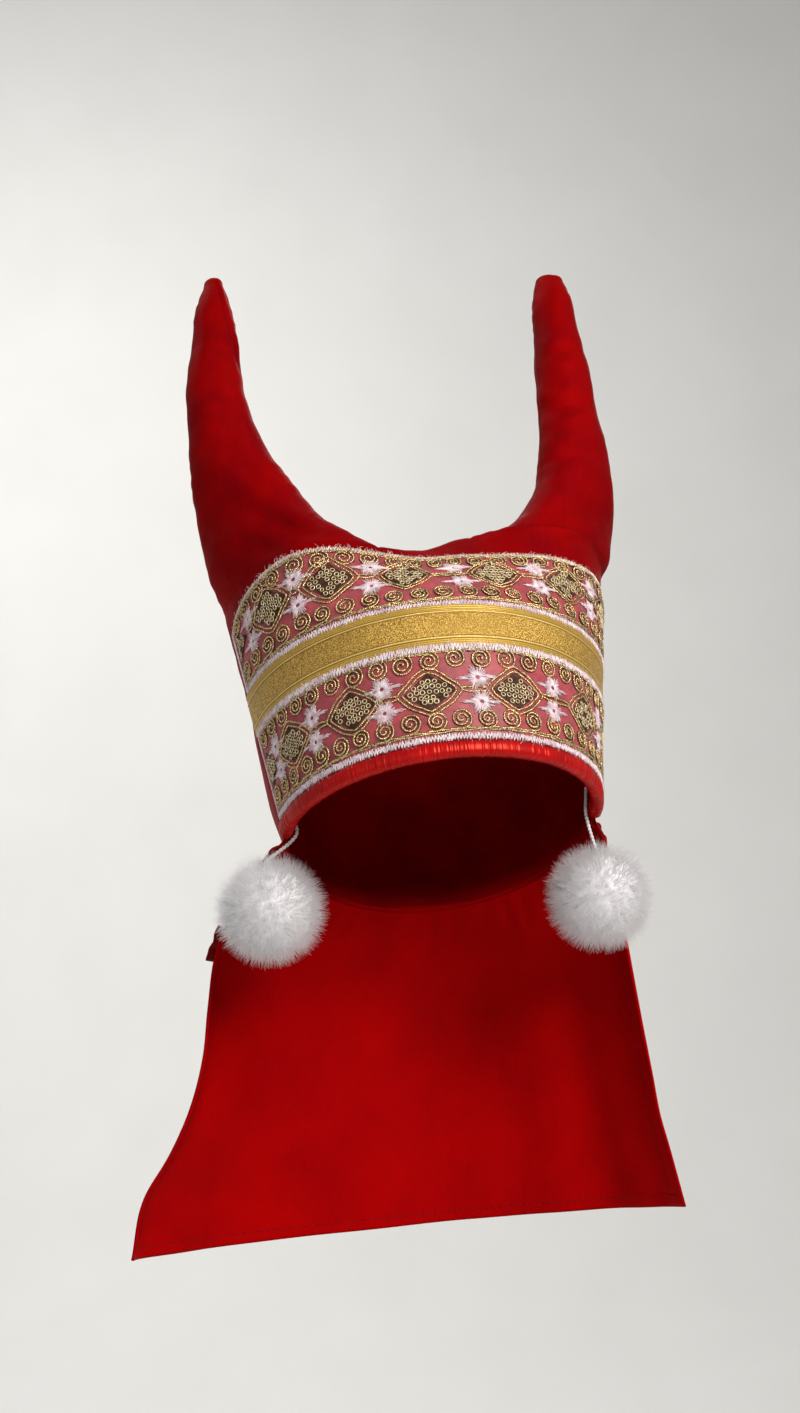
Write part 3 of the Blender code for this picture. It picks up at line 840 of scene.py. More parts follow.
def satinMaterial(name, look):
    material, tree, shader = newMaterial(name)
    coordinate = add(tree, "ShaderNodeTexCoord")
    uv, place = coordinate.outputs["UV"], coordinate.outputs["Object"]
    fine = noiseAt(tree, stretched(tree, uv, (1500, 120, 1)), 1.0, 3.0)
    drift = noiseAt(tree, place, 45.0, 2.0)
    # Random patches of the shade tone are painted shade, and streaks of the light tone along the fine grain
    # are painted highlights.
    tone = blendColours(tree, ramp(tree, drift, 0.3, 0.7), look["shade"], look["colour"])
    tone = flecked(tree, tone, look["light"], fine, 0.4, 0.8, 0.35)
    tree.links.new(tone, shader.inputs["Base Color"])
    dull = maths(tree, "ADD", maths(tree, "MULTIPLY", fine, 0.16), look["roughness"] - 0.08)
    tree.links.new(dull, shader.inputs["Roughness"])
    gleam = {"Specular IOR Level": 0.4, "Specular Tint": (1.0, 0.50, 0.28, 1.0), "Metallic": 0.25}
    setSockets(shader, gleam)
    bumped(tree, shader, (drift, 0.0006, 0.5), (fine, 0.00012, 0.8))
    return material


# Shade and light in both satins are painted shade and painted highlights over the satin's own red.
redSatin = satinMaterial(
    "bindingSatin",
    {
        "colour": (0.46, 0.0008, 0.004),
        "shade": (0.28, 0.0004, 0.003),
        "light": (0.74, 0.02, 0.016),
        "roughness": 0.34,
    },
)
tieSatin = satinMaterial(
    "tieSatin",
    {
        "colour": (0.28, 0.0008, 0.002),
        "shade": (0.21, 0.0005, 0.002),
        "light": (0.42, 0.008, 0.008),
        "roughness": 0.46,
    },
)

bindingSection = [  # out, height: outer face down, round the rim, inner face up
    (0.0004, 0.0060), (0.0012, 0.0059), (0.0018, 0.0046), (0.0021, 0.0028), (0.0021, 0.0010),
    (0.0017, -0.0006), (0.0009, -0.0016), (-0.0003, -0.0020), (-0.0015, -0.0021), (-0.0028, -0.0019),
    (-0.0040, -0.0011), (-0.0048, 0.0006), (-0.0050, 0.0026), (-0.0048, 0.0046), (-0.0043, 0.0058),
    (-0.0035, 0.0059), (-0.0033, 0.0040), (-0.0032, -0.0003), (0.0003, -0.0003), (0.0003, 0.0040),
]


bindingMake = {
    "end": radians(86.5),
    "columns": 1000,
    "shown": 15,  # points of the section that show, the rest lie on the wall
    "middle": (-0.0015, 0.002),
    "gathers": ((0.0024, 0.0, 0.45), (0.0010, 5.0, 0.85)),  # size, seed, strength
    "gatherDepth": 0.13,
    "swellDepth": 0.05,
}


def buildBinding():
    make = bindingMake
    section = np.array(bindingSection)
    angles = np.linspace(-make["end"], make["end"], make["columns"])
    spans = tapeSpan(angles)
    size = len(section)
    shown = np.array([1.0 if k < make["shown"] else 0.0 for k in range(size)])
    middle = np.array(make["middle"])
    flat = np.column_stack([spans, 0 * spans, 0 * spans])
    gather = sum(rough(flat, width, seed) * strength for width, seed, strength in make["gathers"])
    swell = rough(flat, 0.013, 9.0)
    rings = []
    for k, angle in enumerate(angles):
        lift = 1 + shown * (make["gatherDepth"] * gather[k] + make["swellDepth"] * swell[k])
        shape = middle + (section - middle) * lift[:, None]
        shape[:, 1] += 0.0004 * swell[k] * (section[:, 1] > 0.003)
        rings.append(wall(angle, shape[:, 1], shape[:, 0]))
    rings = worn(np.array(rings))
    quads = ringFaces(0, len(rings), size, False)
    count = len(rings) * size
    caps = [list(range(size)), list(range(count - 1, count - size - 1, -1))]
    lengths = np.concatenate([[0], np.cumsum(np.linalg.norm(np.diff(section, axis=0), axis=1))])
    uv = np.stack([spans[:, None] + 0 * lengths, lengths[None, :] + 0 * spans[:, None]], -1).reshape(-1, 2)
    binding = meshObject("rimBinding", rings.reshape(-1, 3), quads.tolist() + caps, redSatin, uv)
    welded(binding, 1e-7)
    return finished(binding, "rim_binding", "rim_binding")


buildBinding()
print("stage: binding")

# Nape cloth: drop, left and right half width, y of the edges and of the middle.
clothRows = [
    (0.000, 0.0832, 0.0832, 0.000, 0.0840),
    (0.010, 0.0940, 0.0890, 0.010, 0.0880),
    (0.020, 0.1040, 0.0930, 0.016, 0.0905),
    (0.035, 0.1130, 0.0960, 0.022, 0.0935),
    (0.055, 0.1210, 0.0985, 0.027, 0.0970),
    (0.080, 0.1260, 0.1010, 0.030, 0.1000),
    (0.109, 0.1310, 0.1040, 0.033, 0.1020),
    (0.135, 0.1400, 0.1070, 0.036, 0.1030),
    (0.157, 0.1520, 0.1095, 0.039, 0.1040),
    (0.174, 0.1640, 0.1130, 0.041, 0.1050),
    (0.206, 0.1730, 0.1190, 0.044, 0.1070),
]
clothMake = {
    "thick": 0.0009,
    "columns": 260,
    "rows": 110,
    "hem": 0.008,
    "folds": 0.0034,
    "pleats": 0.0006,
    "pleatsAt": 0.012,
    "pleatsHigh": 0.014,
    "stitchPitch": 0.0036,
}
napeHeight = worn(hoodArc(np.array([form["halfWidth"], 0.0, 0.0]), 0.0, np.array(0.0)))[2]


def clothPoint(across, drop):
    across, drop = np.broadcast_arrays(np.asarray(across, float), np.asarray(drop, float))
    turn = across * pi / 2
    at = smoothRows(clothRows, drop)
    left, right, edge, middle = (at[..., k] for k in range(1, 5))
    share = drop / clothRows[-1][0]
    bow = np.clip(np.cos(turn), 0, 1)
    fold = clothMake["folds"] * share**0.8 * bow**0.3
    fold = fold * (np.sin(across * 13 + 0.8 * share) * 0.6 + np.sin(across * 23 + 1.9) * 0.4)
    near = np.exp(-(((drop - clothMake["pleatsAt"]) / clothMake["pleatsHigh"]) ** 2))
    fold = fold + clothMake["pleats"] * bow * near * np.sin(across * 62 + np.sin(across * 17))
    spread = np.where(across > 0, right, left) * np.sin(turn)
    depth = edge + (middle - edge) * bow ** (1 + 0.25 * share)
    level = napeHeight * np.cos(turn) * (1 - share) - drop - 0.0008
    return np.stack([spread + fold * np.sin(turn), depth + fold * bow, level], -1)


def clothOutside(across, drop, out):
    across, drop = np.broadcast_arrays(np.asarray(across, float), np.asarray(drop, float))
    here = clothPoint(across, drop)
    along = clothPoint(across + 0.01, drop) - clothPoint(across - 0.01, drop)
    down = clothPoint(across, drop + 0.001) - here
    normal = np.cross(along, down)
    normal /= np.linalg.norm(normal, axis=-1, keepdims=True)
    return here + normal * np.asarray(out)[..., None]


# Shade and light here are painted shade and painted sheen over the cloth's own red.
napeSateen = cottonSateen(
    "napeSateen",
    {
        "colour": (0.35, 0.0005, 0.0010),
        "shade": (0.275, 0.0003, 0.0016),
        "light": (0.42, 0.0012, 0.0012),
        "pitch": 0.00042,
        "roughness": 0.50,
        "specular": 0.03,
        "metallic": 0.18,
        "crumpleScale": 60.0,
        "crumple": 0.0007,
    },
)


def sheetArea(grid):
    a, b = grid[1:, :-1] - grid[:-1, :-1], grid[:-1, 1:] - grid[:-1, :-1]
    return float(np.linalg.norm(np.cross(a, b), axis=-1).sum())


def buildNapeCloth():
    make = clothMake
    across = np.linspace(-1, 1, make["columns"])[None, :] * (radians(88) / form["seam"])
    drops = (clothRows[-1][0] * np.linspace(0, 1, make["rows"]) ** 1.1)[:, None]
    inner = clothPoint(across, drops)
    width = np.linalg.norm(np.diff(inner, axis=1), axis=2)
    spans = np.concatenate([np.zeros((len(inner), 1)), np.cumsum(width, 1)], 1)
    spans -= spans[:, -1:] / 2
    fromSide = spans[:, -1:] - np.abs(spans)
    fromFoot = np.linalg.norm(inner[-1:] - inner, axis=2)
    inHem = np.minimum(fromSide * (drops > 0.004) + 1 * (drops <= 0.004), fromFoot)
    double = 1 - ease((inHem - make["hem"] + 0.0006) / 0.0012)
    stitch = np.exp(-(((inHem - make["hem"] + 0.0015) / 0.0006) ** 2))
    thick = make["thick"] * (1 + 0.7 * double) - 0.00035 * stitch
    outer = clothOutside(across, drops, thick)
    uv = np.stack([spans, drops + 0 * spans], -1)
    cloth = slab("napeCloth", outer, inner, napeSateen, uv)
    finished(cloth, "nape_cloth", "nape_cloth")
    middle, side = (np.linalg.norm(np.diff(inner[:, k], axis=0), axis=1) for k in (make["columns"] // 2, 0))
    width, length = float(spans[-1, -1] * 2), max(float(middle.sum()), float(side.sum()))
    print("nape cloth flat", round(width, 4), round(length, 4), round(sheetArea(inner), 5))
    return cloth


buildNapeCloth()


def hemLines(inset):
    end, near = 0.977, 0.93  # the cloth's edge and a place beside it, as shares of a quarter turn
    across = np.linspace(-0.96, 0.96, 400)
    drops = np.linspace(0.006, clothRows[-1][0] - inset, 300)
    lines = [(across, np.full(400, clothRows[-1][0] - inset))]
    for side in (-1, 1):
        wide = np.linalg.norm(clothPoint(side * near, drops) - clothPoint(side * end, drops), axis=1)
        lines.append((side * (end - 0.047 * (inset / wide)), drops))
    return lines


# The seam that covers the join of hood and cloth: height above it and how far it stands out,
# then drop below it and how far it stands out.
seamAbove = ((0.0048, 0.0003), (0.0036, 0.0009), (0.0020, 0.0012), (0.0004, 0.0013))
seamBelow = ((0.0008, 0.0013), (0.0024, 0.0012))


def buildNapeSeam():
    across = np.linspace(-1, 1, 240) * 0.985
    side = np.array([form["halfWidth"], 0.0, 0.0])
    step = 1e-3
    rows = []
    for lift, out in seamAbove:
        along = np.full(across.shape, lift / topHeight(0.0))
        here = hoodArc(side + 0 * across[:, None], across, along)
        turn = hoodArc(side + 0 * across[:, None], across + step, along) - here
        climb = hoodArc(side + 0 * across[:, None], across, along + step) - here
        normal = np.cross(turn, climb)
        normal /= np.linalg.norm(normal, axis=-1, keepdims=True)
        rise = wall(np.array([-form["seam"]]), lift)[0] * [0, 0, 1]
        rows.append(worn(here + normal * out + rise * (1 - np.cos(across * pi / 2))[:, None]))
    rows += [clothOutside(across, drop, out) for drop, out in seamBelow]
    outer = np.array(rows)
    away = outer - outer.mean(axis=(0, 1))
    away[..., 2] = 0
    away /= np.linalg.norm(away, axis=-1, keepdims=True)
    spans = np.concatenate([[0], np.cumsum(np.linalg.norm(np.diff(outer[3], axis=0), axis=1))])
    flat = 0 * outer[..., 0]
    uv = np.stack([spans[None, :] + flat, np.linspace(0, 0.007, len(rows))[:, None] + flat], -1)
    seam = slab("napeSeam", outer, outer - away * 0.0013, napeSateen, uv)
    return finished(seam, "nape_cloth", "nape_cloth")


buildNapeSeam()
print("stage: nape cloth")

# Ties: drop is how far their middle lies below the cloth's upper edge, out how far off the cloth.
tieMake = {
    "width": 0.008,
    "thick": 0.0008,
    "drop": 0.017,
    "cornerDrop": 0.006,
    "out": 0.0019,
    "tailOut": 0.0020,
    "pinch": 0.45,
    "tailSpread": {"left": 0.009, "right": 0.007},
    "tailLift": 0.011,
}
knotMake = {"radii": (0.0060, 0.0054, 0.0070), "out": 0.0071, "wraps": 0.06, "creases": 0.03}


def ribbon(name, place, rows, columns, node):
    down, along = np.meshgrid(np.linspace(0, 1, rows), np.linspace(0, 1, columns), indexing="ij")
    inner, outer = place(down, along, 0.0), place(down, along, tieMake["thick"])
    width = np.linalg.norm(inner[-1, columns // 2] - inner[0, columns // 2])
    length = np.linalg.norm(np.diff(inner[rows // 2], axis=0), axis=1).sum()
    uv = np.stack([along * length, down * width], -1)
    thing = slab(name, outer, inner, tieSatin, uv)
    print(name, "flat", round(float(length), 4), round(float(width), 4))
    return finished(thing, node, "ties")


def pleats(down, along, seed):
    return 0.0005 * np.sin(down * 9 + along * 5 + seed) + 0.0003 * np.sin(down * 17 - along * 11 + seed)


def tiePlace(side):
    def place(down, along, out):
        make = tieMake
        across = 1.04 - 1.008 * along
        pinch = 1 - make["pinch"] * ease((along - 0.85) / 0.15)
        drop = make["cornerDrop"] + (make["drop"] - make["cornerDrop"]) * ease((1.04 - across) / 0.2)
        drop = np.maximum(drop + (down - 0.5) * make["width"] * pinch, 0.0)
        return clothOutside(side * across, drop, make["out"] + out + pleats(down, along, side))

    return place


def tailWidth(along, side):
    return tieMake["width"] * (0.55 + 0.45 * ease(along / 0.12)) + tieMake["tailSpread"][side] * along


def tailLeft(down, back, out):
    along = 1 - back
    across = -0.02 - 0.80 * along
    drop = tieMake["drop"] + 0.0087 + 0.0183 * along + (down - 0.5) * tailWidth(along, "left")
    lift = tieMake["tailOut"] + tieMake["tailLift"] * ease((along - 0.45) / 0.55)
    return clothOutside(across, drop, lift + out + pleats(down, along, 2.0))


def tailRight(across, along, out):
    side = 0.035 + 0.05 * along - (across - 0.5) * (tailWidth(along, "right") / 0.15)
    drop = tieMake["drop"] + 0.0085 + 0.107 * along
    return clothOutside(side, drop, tieMake["tailOut"] + out + pleats(across, along, 4.0))


def buildKnot():
    centre = clothOutside(0.0, tieMake["drop"], knotMake["out"])
    turn, level = np.meshgrid(np.linspace(0, 2 * pi, 97)[:-1], np.linspace(-pi / 2, pi / 2, 50)[1:-1])
    wrap = 1 + knotMake["wraps"] * np.sin(6 * level + 1.2 * np.sin(turn))
    wrap = wrap + knotMake["creases"] * np.sin(13 * level + turn)
    a, b, c = knotMake["radii"]
    flat, tall = np.cos(level), c * np.sin(level)
    radius = np.stack([a * flat * np.cos(turn), b * flat * np.sin(turn), tall], -1)
    points = centre + radius * wrap[..., None]
    rows, size = points.shape[:2]
    quads = ringFaces(0, rows, size, False).tolist()
    quads += [list(range(size))[::-1], list(range((rows - 1) * size, rows * size))]
    uv = np.stack([turn * a, level * c], -1).reshape(-1, 2)
    knot = meshObject("tieKnot", points.reshape(-1, 3), quads, tieSatin, uv)
    welded(knot, 1e-7)
    return finished(knot, "tie_knot", "ties")


ribbon("tieLeft", tiePlace(-1), 14, 200, "tie_left")
ribbon("tieRight", tiePlace(1), 14, 200, "tie_right")
ribbon("tieTailLeft", tailLeft, 14, 150, "tie_tail_left")
ribbon("tieTailRight", tailRight, 14, 130, "tie_tail_right")
buildKnot()
print("stage: ties")


# Node trees for what repeats: thread along lines, pieces on points, fur.
def newGroup(name, sockets):
    tree = bpy.data.node_groups.new(name, "GeometryNodeTree")
    tree.interface.new_socket("Geometry", in_out="INPUT", socket_type="NodeSocketGeometry")
    for title, kind in sockets:
        tree.interface.new_socket(title, in_out="INPUT", socket_type="NodeSocket" + kind)
    tree.interface.new_socket("Geometry", in_out="OUTPUT", socket_type="NodeSocketGeometry")
    return tree, tree.nodes.new("NodeGroupInput"), tree.nodes.new("NodeGroupOutput")


def endTree(tree, source, geometry, start):
    real = add(tree, "GeometryNodeRealizeInstances", {"Geometry": geometry})
    smooth = add(tree, "GeometryNodeSetShadeSmooth", {0: real.outputs[0]})
    painted = add(tree, "GeometryNodeSetMaterial", {"Geometry": smooth.outputs[0]})
    tree.links.new(start.outputs["Material"], painted.inputs["Material"])
    tree.links.new(painted.outputs[0], source.inputs[0])


def threadTree():
    sockets = [("Radius", "Float"), ("Pitch", "Float"), ("Step", "Float"), ("Material", "Material")]
    tree, start, end = newGroup("twistedThread", sockets)
    curve = add(tree, "GeometryNodeMeshToCurve", {"Mesh": start.outputs["Geometry"]})
    even = add(tree, "GeometryNodeResampleCurve", {"Curve": curve.outputs[0]})
    even.mode = "LENGTH"
    put(tree, even.inputs["Length"], start.outputs["Step"])
    length = add(tree, "GeometryNodeSplineParameter").outputs["Length"]
    turns = maths(tree, "DIVIDE", length, start.outputs["Pitch"])
    tilt = maths(tree, "MULTIPLY", turns, 2 * pi)
    twisted = add(tree, "GeometryNodeSetCurveTilt", {"Curve": even.outputs[0], "Tilt": tilt})
    circle = add(tree, "GeometryNodeCurvePrimitiveCircle", {"Resolution": 6})
    put(tree, circle.inputs["Radius"], start.outputs["Radius"])
    oval = add(tree, "GeometryNodeTransform", {"Geometry": circle.outputs[0], "Scale": (1.3, 0.72, 1.0)})
    laid = {"Curve": twisted.outputs[0], "Profile Curve": oval.outputs[0], "Fill Caps": True}
    tube = add(tree, "GeometryNodeCurveToMesh", laid)
    endTree(tree, end, tube.outputs[0], start)
    return tree


def placedTree():
    tree, start, end = newGroup("placedPieces", [("Shape", "Object"), ("Material", "Material")])
    shape = add(tree, "GeometryNodeObjectInfo", {"Object": start.outputs["Shape"]})
    named = {}
    for title in ("rise", "aim", "size"):
        found = add(tree, "GeometryNodeInputNamedAttribute", data_type="FLOAT_VECTOR")
        found.inputs["Name"].default_value = title
        named[title] = found.outputs[0]
    turned = add(tree, "FunctionNodeAxesToRotation", primary_axis="Z", secondary_axis="X")
    put(tree, turned.inputs[0], named["rise"])
    put(tree, turned.inputs[1], named["aim"])
    placed = add(
        tree,
        "GeometryNodeInstanceOnPoints",
        {
            "Points": start.outputs["Geometry"],
            "Instance": shape.outputs["Geometry"],
            "Rotation": turned.outputs[0],
            "Scale": named["size"],
        },
    )
    endTree(tree, end, placed.outputs[0], start)
    return tree


def furTree():
    sockets = [("Density", "Float"), ("Length", "Float"), ("Radius", "Float")]
    sockets += [("Seed", "Int"), ("Material", "Material")]
    tree, start, end = newGroup("furStrands", sockets)
    spread = add(tree, "GeometryNodeDistributePointsOnFaces", {"Mesh": start.outputs["Geometry"]})
    put(tree, spread.inputs["Density"], start.outputs["Density"])
    put(tree, spread.inputs["Seed"], start.outputs["Seed"])
    strand = {"Resolution": 3, "Start": (0, 0, 0), "Middle": (0.06, 0, 0.55), "End": (0.30, 0.05, 1.0)}
    bend = add(tree, "GeometryNodeCurveQuadraticBezier", strand)
    tips = {"Min": (-0.42, -0.42, 0.0), "Max": (0.42, 0.42, 6.28)}  # radians each strand leans and turns
    lean = add(tree, "FunctionNodeRandomValue", tips, data_type="FLOAT_VECTOR")
    put(tree, lean.inputs["Seed"], start.outputs["Seed"])
    leaning = add(tree, "FunctionNodeEulerToRotation", {0: lean.outputs[0]})
    turns = {0: spread.outputs["Rotation"], 1: leaning.outputs[0]}
    turned = add(tree, "FunctionNodeRotateRotation", turns, rotation_space="LOCAL")
    reach = add(tree, "FunctionNodeRandomValue", data_type="FLOAT")
    reach.inputs[2].default_value, reach.inputs[3].default_value = 0.58, 1.24  # shortest and longest strand
    scale = maths(tree, "MULTIPLY", reach.outputs[1], start.outputs["Length"])
    stand = {"Points": spread.outputs["Points"], "Instance": bend.outputs[0], "Rotation": turned.outputs[0]}
    placed = add(tree, "GeometryNodeInstanceOnPoints", {**stand, "Scale": scale})
    real = add(tree, "GeometryNodeRealizeInstances", {"Geometry": placed.outputs[0]})
    factor = add(tree, "GeometryNodeSplineParameter").outputs["Factor"]
    taper = remapped(tree, factor, 1.0, 0.16)
    circle = add(tree, "GeometryNodeCurvePrimitiveCircle", {"Resolution": 3})
    put(tree, circle.inputs["Radius"], start.outputs["Radius"])
    laid = {"Curve": real.outputs[0], "Profile Curve": circle.outputs[0], "Scale": taper, "Fill Caps": True}
    tube = add(tree, "GeometryNodeCurveToMesh", laid)
    endTree(tree, end, tube.outputs[0], start)
    return tree


def grown(name, base, tree, values):
    modifier = base.modifiers.new(tree.name, "NODES")
    modifier.node_group = tree
    for item in tree.interface.items_tree:
        if item.item_type == "SOCKET" and item.in_out == "INPUT" and item.name in values:
            modifier[item.identifier] = values[item.name]
    graph = bpy.context.evaluated_depsgraph_get()
    graph.update()
    shown = base.evaluated_get(graph)
    mesh = bpy.data.meshes.new_from_object(shown, preserve_all_data_layers=False, depsgraph=graph)
    mesh.name = name
    if values["Material"].name not in [m.name for m in mesh.materials if m]:
        mesh.materials.clear()
        mesh.materials.append(values["Material"])
    thing = bpy.data.objects.new(name, mesh)
    bpy.context.scene.collection.objects.link(thing)
    bpy.data.objects.remove(base)
    return thing


twistedThread, placedPieces, furStrands = threadTree(), placedTree(), furTree()


# Threads and fur: what a thread is made like unless its own row says otherwise.
# Each thread's shade tone is painted shade and its light tone painted glints; its colour is the thread's
# own.
plainThread = {
    "driftScale": 300.0,  # how finely its tone drifts from shade to colour
    "glint": 0.4,  # how much of its light tone shows
    "roughness": 0.5,
    "metallic": 0.0,
    "sheen": 0.0,
    "specular": 0.5,
    "scatter": 0.0,
}
threadLooks = {
    # The gold's dark patches are painted shade between the twists, its light flecks painted glints.
    "goldThread": {
        "colour": (0.95, 0.65, 0.26), "shade": (0.19, 0.085, 0.024), "light": (1.0, 0.90, 0.60),
        "driftScale": 900.0, "glint": 0.8, "roughness": 0.24, "metallic": 0.8,
    },
    # Dark thread: the diamonds' own fill, and the painted shadow cords under the gold.
    "bronzeThread": {
        "colour": (0.085, 0.034, 0.016), "shade": (0.038, 0.012, 0.007), "light": (0.24, 0.13, 0.050),
        "metallic": 0.2,
    },
    "paleGoldThread": {
        "colour": (0.80, 0.68, 0.58), "shade": (0.50, 0.34, 0.24), "light": (0.95, 0.90, 0.82),
        "driftScale": 200.0, "glint": 0.5, "roughness": 0.4, "metallic": 0.35, "sheen": 0.2,
    },
    "sequinGold": {
        "colour": (0.90, 0.72, 0.40), "shade": (0.50, 0.33, 0.15), "light": (1.0, 0.95, 0.76),
        "driftScale": 520.0, "glint": 0.7, "roughness": 0.22, "metallic": 0.35,
    },
    "whiteThread": {
        "colour": (0.74, 0.62, 0.66), "shade": (0.46, 0.28, 0.34), "light": (0.96, 0.94, 0.95),
        "driftScale": 420.0, "glint": 0.6, "roughness": 0.42, "sheen": 0.4,
    },
    "overlockThread": {
        "colour": (0.82, 0.70, 0.73), "shade": (0.58, 0.40, 0.46), "light": (0.97, 0.94, 0.94),
        "driftScale": 240.0, "glint": 0.5, "roughness": 0.45, "sheen": 0.4,
    },
    "redThread": {
        "colour": (0.26, 0.002, 0.004), "shade": (0.16, 0.001, 0.002), "light": (0.40, 0.004, 0.006),
        "driftScale": 200.0, "roughness": 0.6, "specular": 0.06,
    },
    "whiteCord": {
        "colour": (0.82, 0.80, 0.79), "shade": (0.62, 0.60, 0.60), "light": (0.93, 0.92, 0.92),
        "roughness": 0.62, "sheen": 0.3,
    },
    "whiteFurHair": {
        "colour": (0.88, 0.865, 0.885), "shade": (0.80, 0.785, 0.815), "light": (0.98, 0.98, 0.985),
        "driftScale": 150.0, "roughness": 0.9, "specular": 0.05, "scatter": 0.7,
    },
    "whiteFurDown": {
        "colour": (0.86, 0.85, 0.88), "shade": (0.78, 0.76, 0.80), "light": (0.95, 0.95, 0.96),
        "driftScale": 260.0, "glint": 0.5, "roughness": 0.85, "sheen": 0.3, "specular": 0.1, "scatter": 0.8,
    },
}


def threadMaterial(name, look):
    material, tree, shader = newMaterial(name)
    place = add(tree, "ShaderNodeTexCoord").outputs["Object"]
    # Random patches of the shade tone are painted shade; flecks of the light tone are painted glints.
    drift = noiseAt(tree, place, look["driftScale"], 2.0)
    glint = noiseAt(tree, place, 2600.0, 1.0)
    tone = blendColours(tree, ramp(tree, drift, 0.35, 0.65), look["shade"], look["colour"])
    tone = flecked(tree, tone, look["light"], glint, 0.45, 0.75, look["glint"])
    tree.links.new(tone, shader.inputs["Base Color"])
    dull = remapped(tree, glint, look["roughness"] - 0.08, look["roughness"] + 0.12)
    tree.links.new(dull, shader.inputs["Roughness"])
    setSockets(
        shader,
        {
            "Metallic": look["metallic"],
            "Sheen Weight": look["sheen"],
            "Specular IOR Level": look["specular"],
            "Subsurface Weight": look["scatter"],
            "Subsurface Radius": (1.0, 1.0, 1.0),
            "Subsurface Scale": 0.004,
        },
    )
    bumped(tree, shader, (glint, 0.00008, 0.7))
    return material


thread = {name: threadMaterial(name, {**plainThread, **look}) for name, look in threadLooks.items()}


def threadAlong(name, lines, radius, pitch, step, material):
    points = np.vstack(lines)
    edges, start = [], 0
    for line in lines:
        edges += [(start + k, start + k + 1) for k in range(len(line) - 1)]
        start += len(line)
    base = meshObject(name + "Line", points, [], edges=edges)
    values = {"Radius": radius, "Pitch": pitch, "Step": step, "Material": material}
    return grown(name, base, twistedThread, values)


def stitchShape():
    sides, rings = 6, 7
    t = np.linspace(0, pi, rings + 2)[1:-1]
    turn = np.linspace(0, 2 * pi, sides + 1)[:-1]
    x = -0.5 * np.cos(t)[:, None] + 0 * turn
    girth = (np.sin(t) ** 0.6)[:, None]
    y, z = 0.5 * girth * np.cos(turn), 0.5 * girth * np.sin(turn) + 0.35 * np.sin(t)[:, None]
    points = np.stack([x, y, z], -1).reshape(-1, 3)
    caps = [list(range(sides))[::-1], list(range((rings - 1) * sides, rings * sides))]
    return meshObject("stitchShape", points, ringFaces(0, rings, sides, False).tolist() + caps)


def ringShape():
    around, tube = 12, 5
    a = np.linspace(0, 2 * pi, around + 1)[:-1, None]
    b = np.linspace(0, 2 * pi, tube + 1)[:-1][None, :]
    radius = 0.385 + 0.090 * np.cos(b)
    points = np.stack([radius * np.cos(a), radius * np.sin(a), 0.08 * np.sin(b) + 0 * a], -1)
    k, m = np.meshgrid(np.arange(around), np.arange(tube), indexing="ij")
    nextK, nextM = (k + 1) % around, (m + 1) % tube
    quads = np.stack([k * tube + m, nextK * tube + m, nextK * tube + nextM, k * tube + nextM], -1)
    return meshObject("ringShape", points.reshape(-1, 3), quads.reshape(-1, 4))


def placed(name, makeShape, points, rises, aims, sizes, material):
    base = meshObject(name + "Points", points, [])
    for title, values in (("rise", rises), ("aim", aims), ("size", sizes)):
        layer = base.data.attributes.new(title, "FLOAT_VECTOR", "POINT")
        layer.data.foreach_set("vector", np.asarray(values, np.float32).ravel())
    shape = makeShape()
    thing = grown(name, base, placedPieces, {"Shape": shape, "Material": material})
    bpy.data.objects.remove(shape)
    return thing


# Laces: places of the motifs along the tape, s from the middle, v up the wall.
laces = {
    "upper": {
        "node": "upper_lace",
        "size": tapes["upper"],
        "diamonds": (-0.1310, -0.0950, -0.0590, -0.0190, 0.0330, 0.0770, 0.1180),
        "flowers": (-0.1130, -0.0770, -0.0370, 0.0110, 0.0580, 0.0980),
        "half": (0.0158, 0.0142),
        "middle": 0.1080,
        "flowerHeights": (0.1145, 0.0990),
        "spiralHeights": (0.0890, 0.1218),
        "lines": (0.0834, 0.1262),
    },
    "lower": {
        "node": "lower_lace",
        "size": tapes["lower"],
        "diamonds": (-0.1300, -0.0980, -0.0540, -0.0140, 0.0300, 0.0820, 0.1250),
        "flowers": (-0.1140, -0.0790, -0.0370, 0.0105, 0.0540, 0.1040),
        "half": (0.0160, 0.0126),
        "middle": 0.0322,
        "flowerHeights": (0.0385, 0.0255),
        "spiralHeights": (0.0170, 0.0486),
        "lines": (0.0118, 0.0527),
    },
}
motif = {
    "lineGap": 0.0024,
    "diamondPower": 0.80,  # rounds the corners and swells the sides
    "spiralStart": 0.0006,
    "spiralRadius": 0.0054,
    "spiralTurns": 2.35,
    "spiralPitch": 0.0124,
    "spiralTail": 0.0058,
    "edgeGap": 0.0009,
    "endGap": 0.006,
    "cordRadius": 0.00050,
    # The dark cord under each gold cord is a painted shadow outlining it.
    "shadowCordRadius": 0.00074,
    "shadowCordDepth": 0.00042,
    "cordTwist": 0.0021,
    "cordOut": 0.00125,
    "fillRadius": 0.00020,
    "fillPitch": 0.0008,
    "fillInset": (0.0024, 0.0022),
    "fuzzRadius": 0.000075,
    "fuzzCount": 260,
    "fuzzLength": 0.0024,
    "sequin": 0.0028,
    "sequinPitch": 0.00305,
    "sequinInset": (0.0048, 0.0042),
    "sequinShare": 0.93,
    "flowerRadius": 0.0072,
    "rays": 40,
    "rayGirth": 0.00052,
    "thinRayGirth": 0.00050,
    "longRay": (0.0044, 0.0112),
    "zigzagRadius": 0.00019,
}


def onLace(lace, s, v, out):
    if lace["node"] == "upper_lace":
        s, v = np.broadcast_arrays(np.asarray(s, float), np.asarray(v, float))
        v = v - cornerDrop(tapeAngle(s), v)
    return onTape(s, v, out)


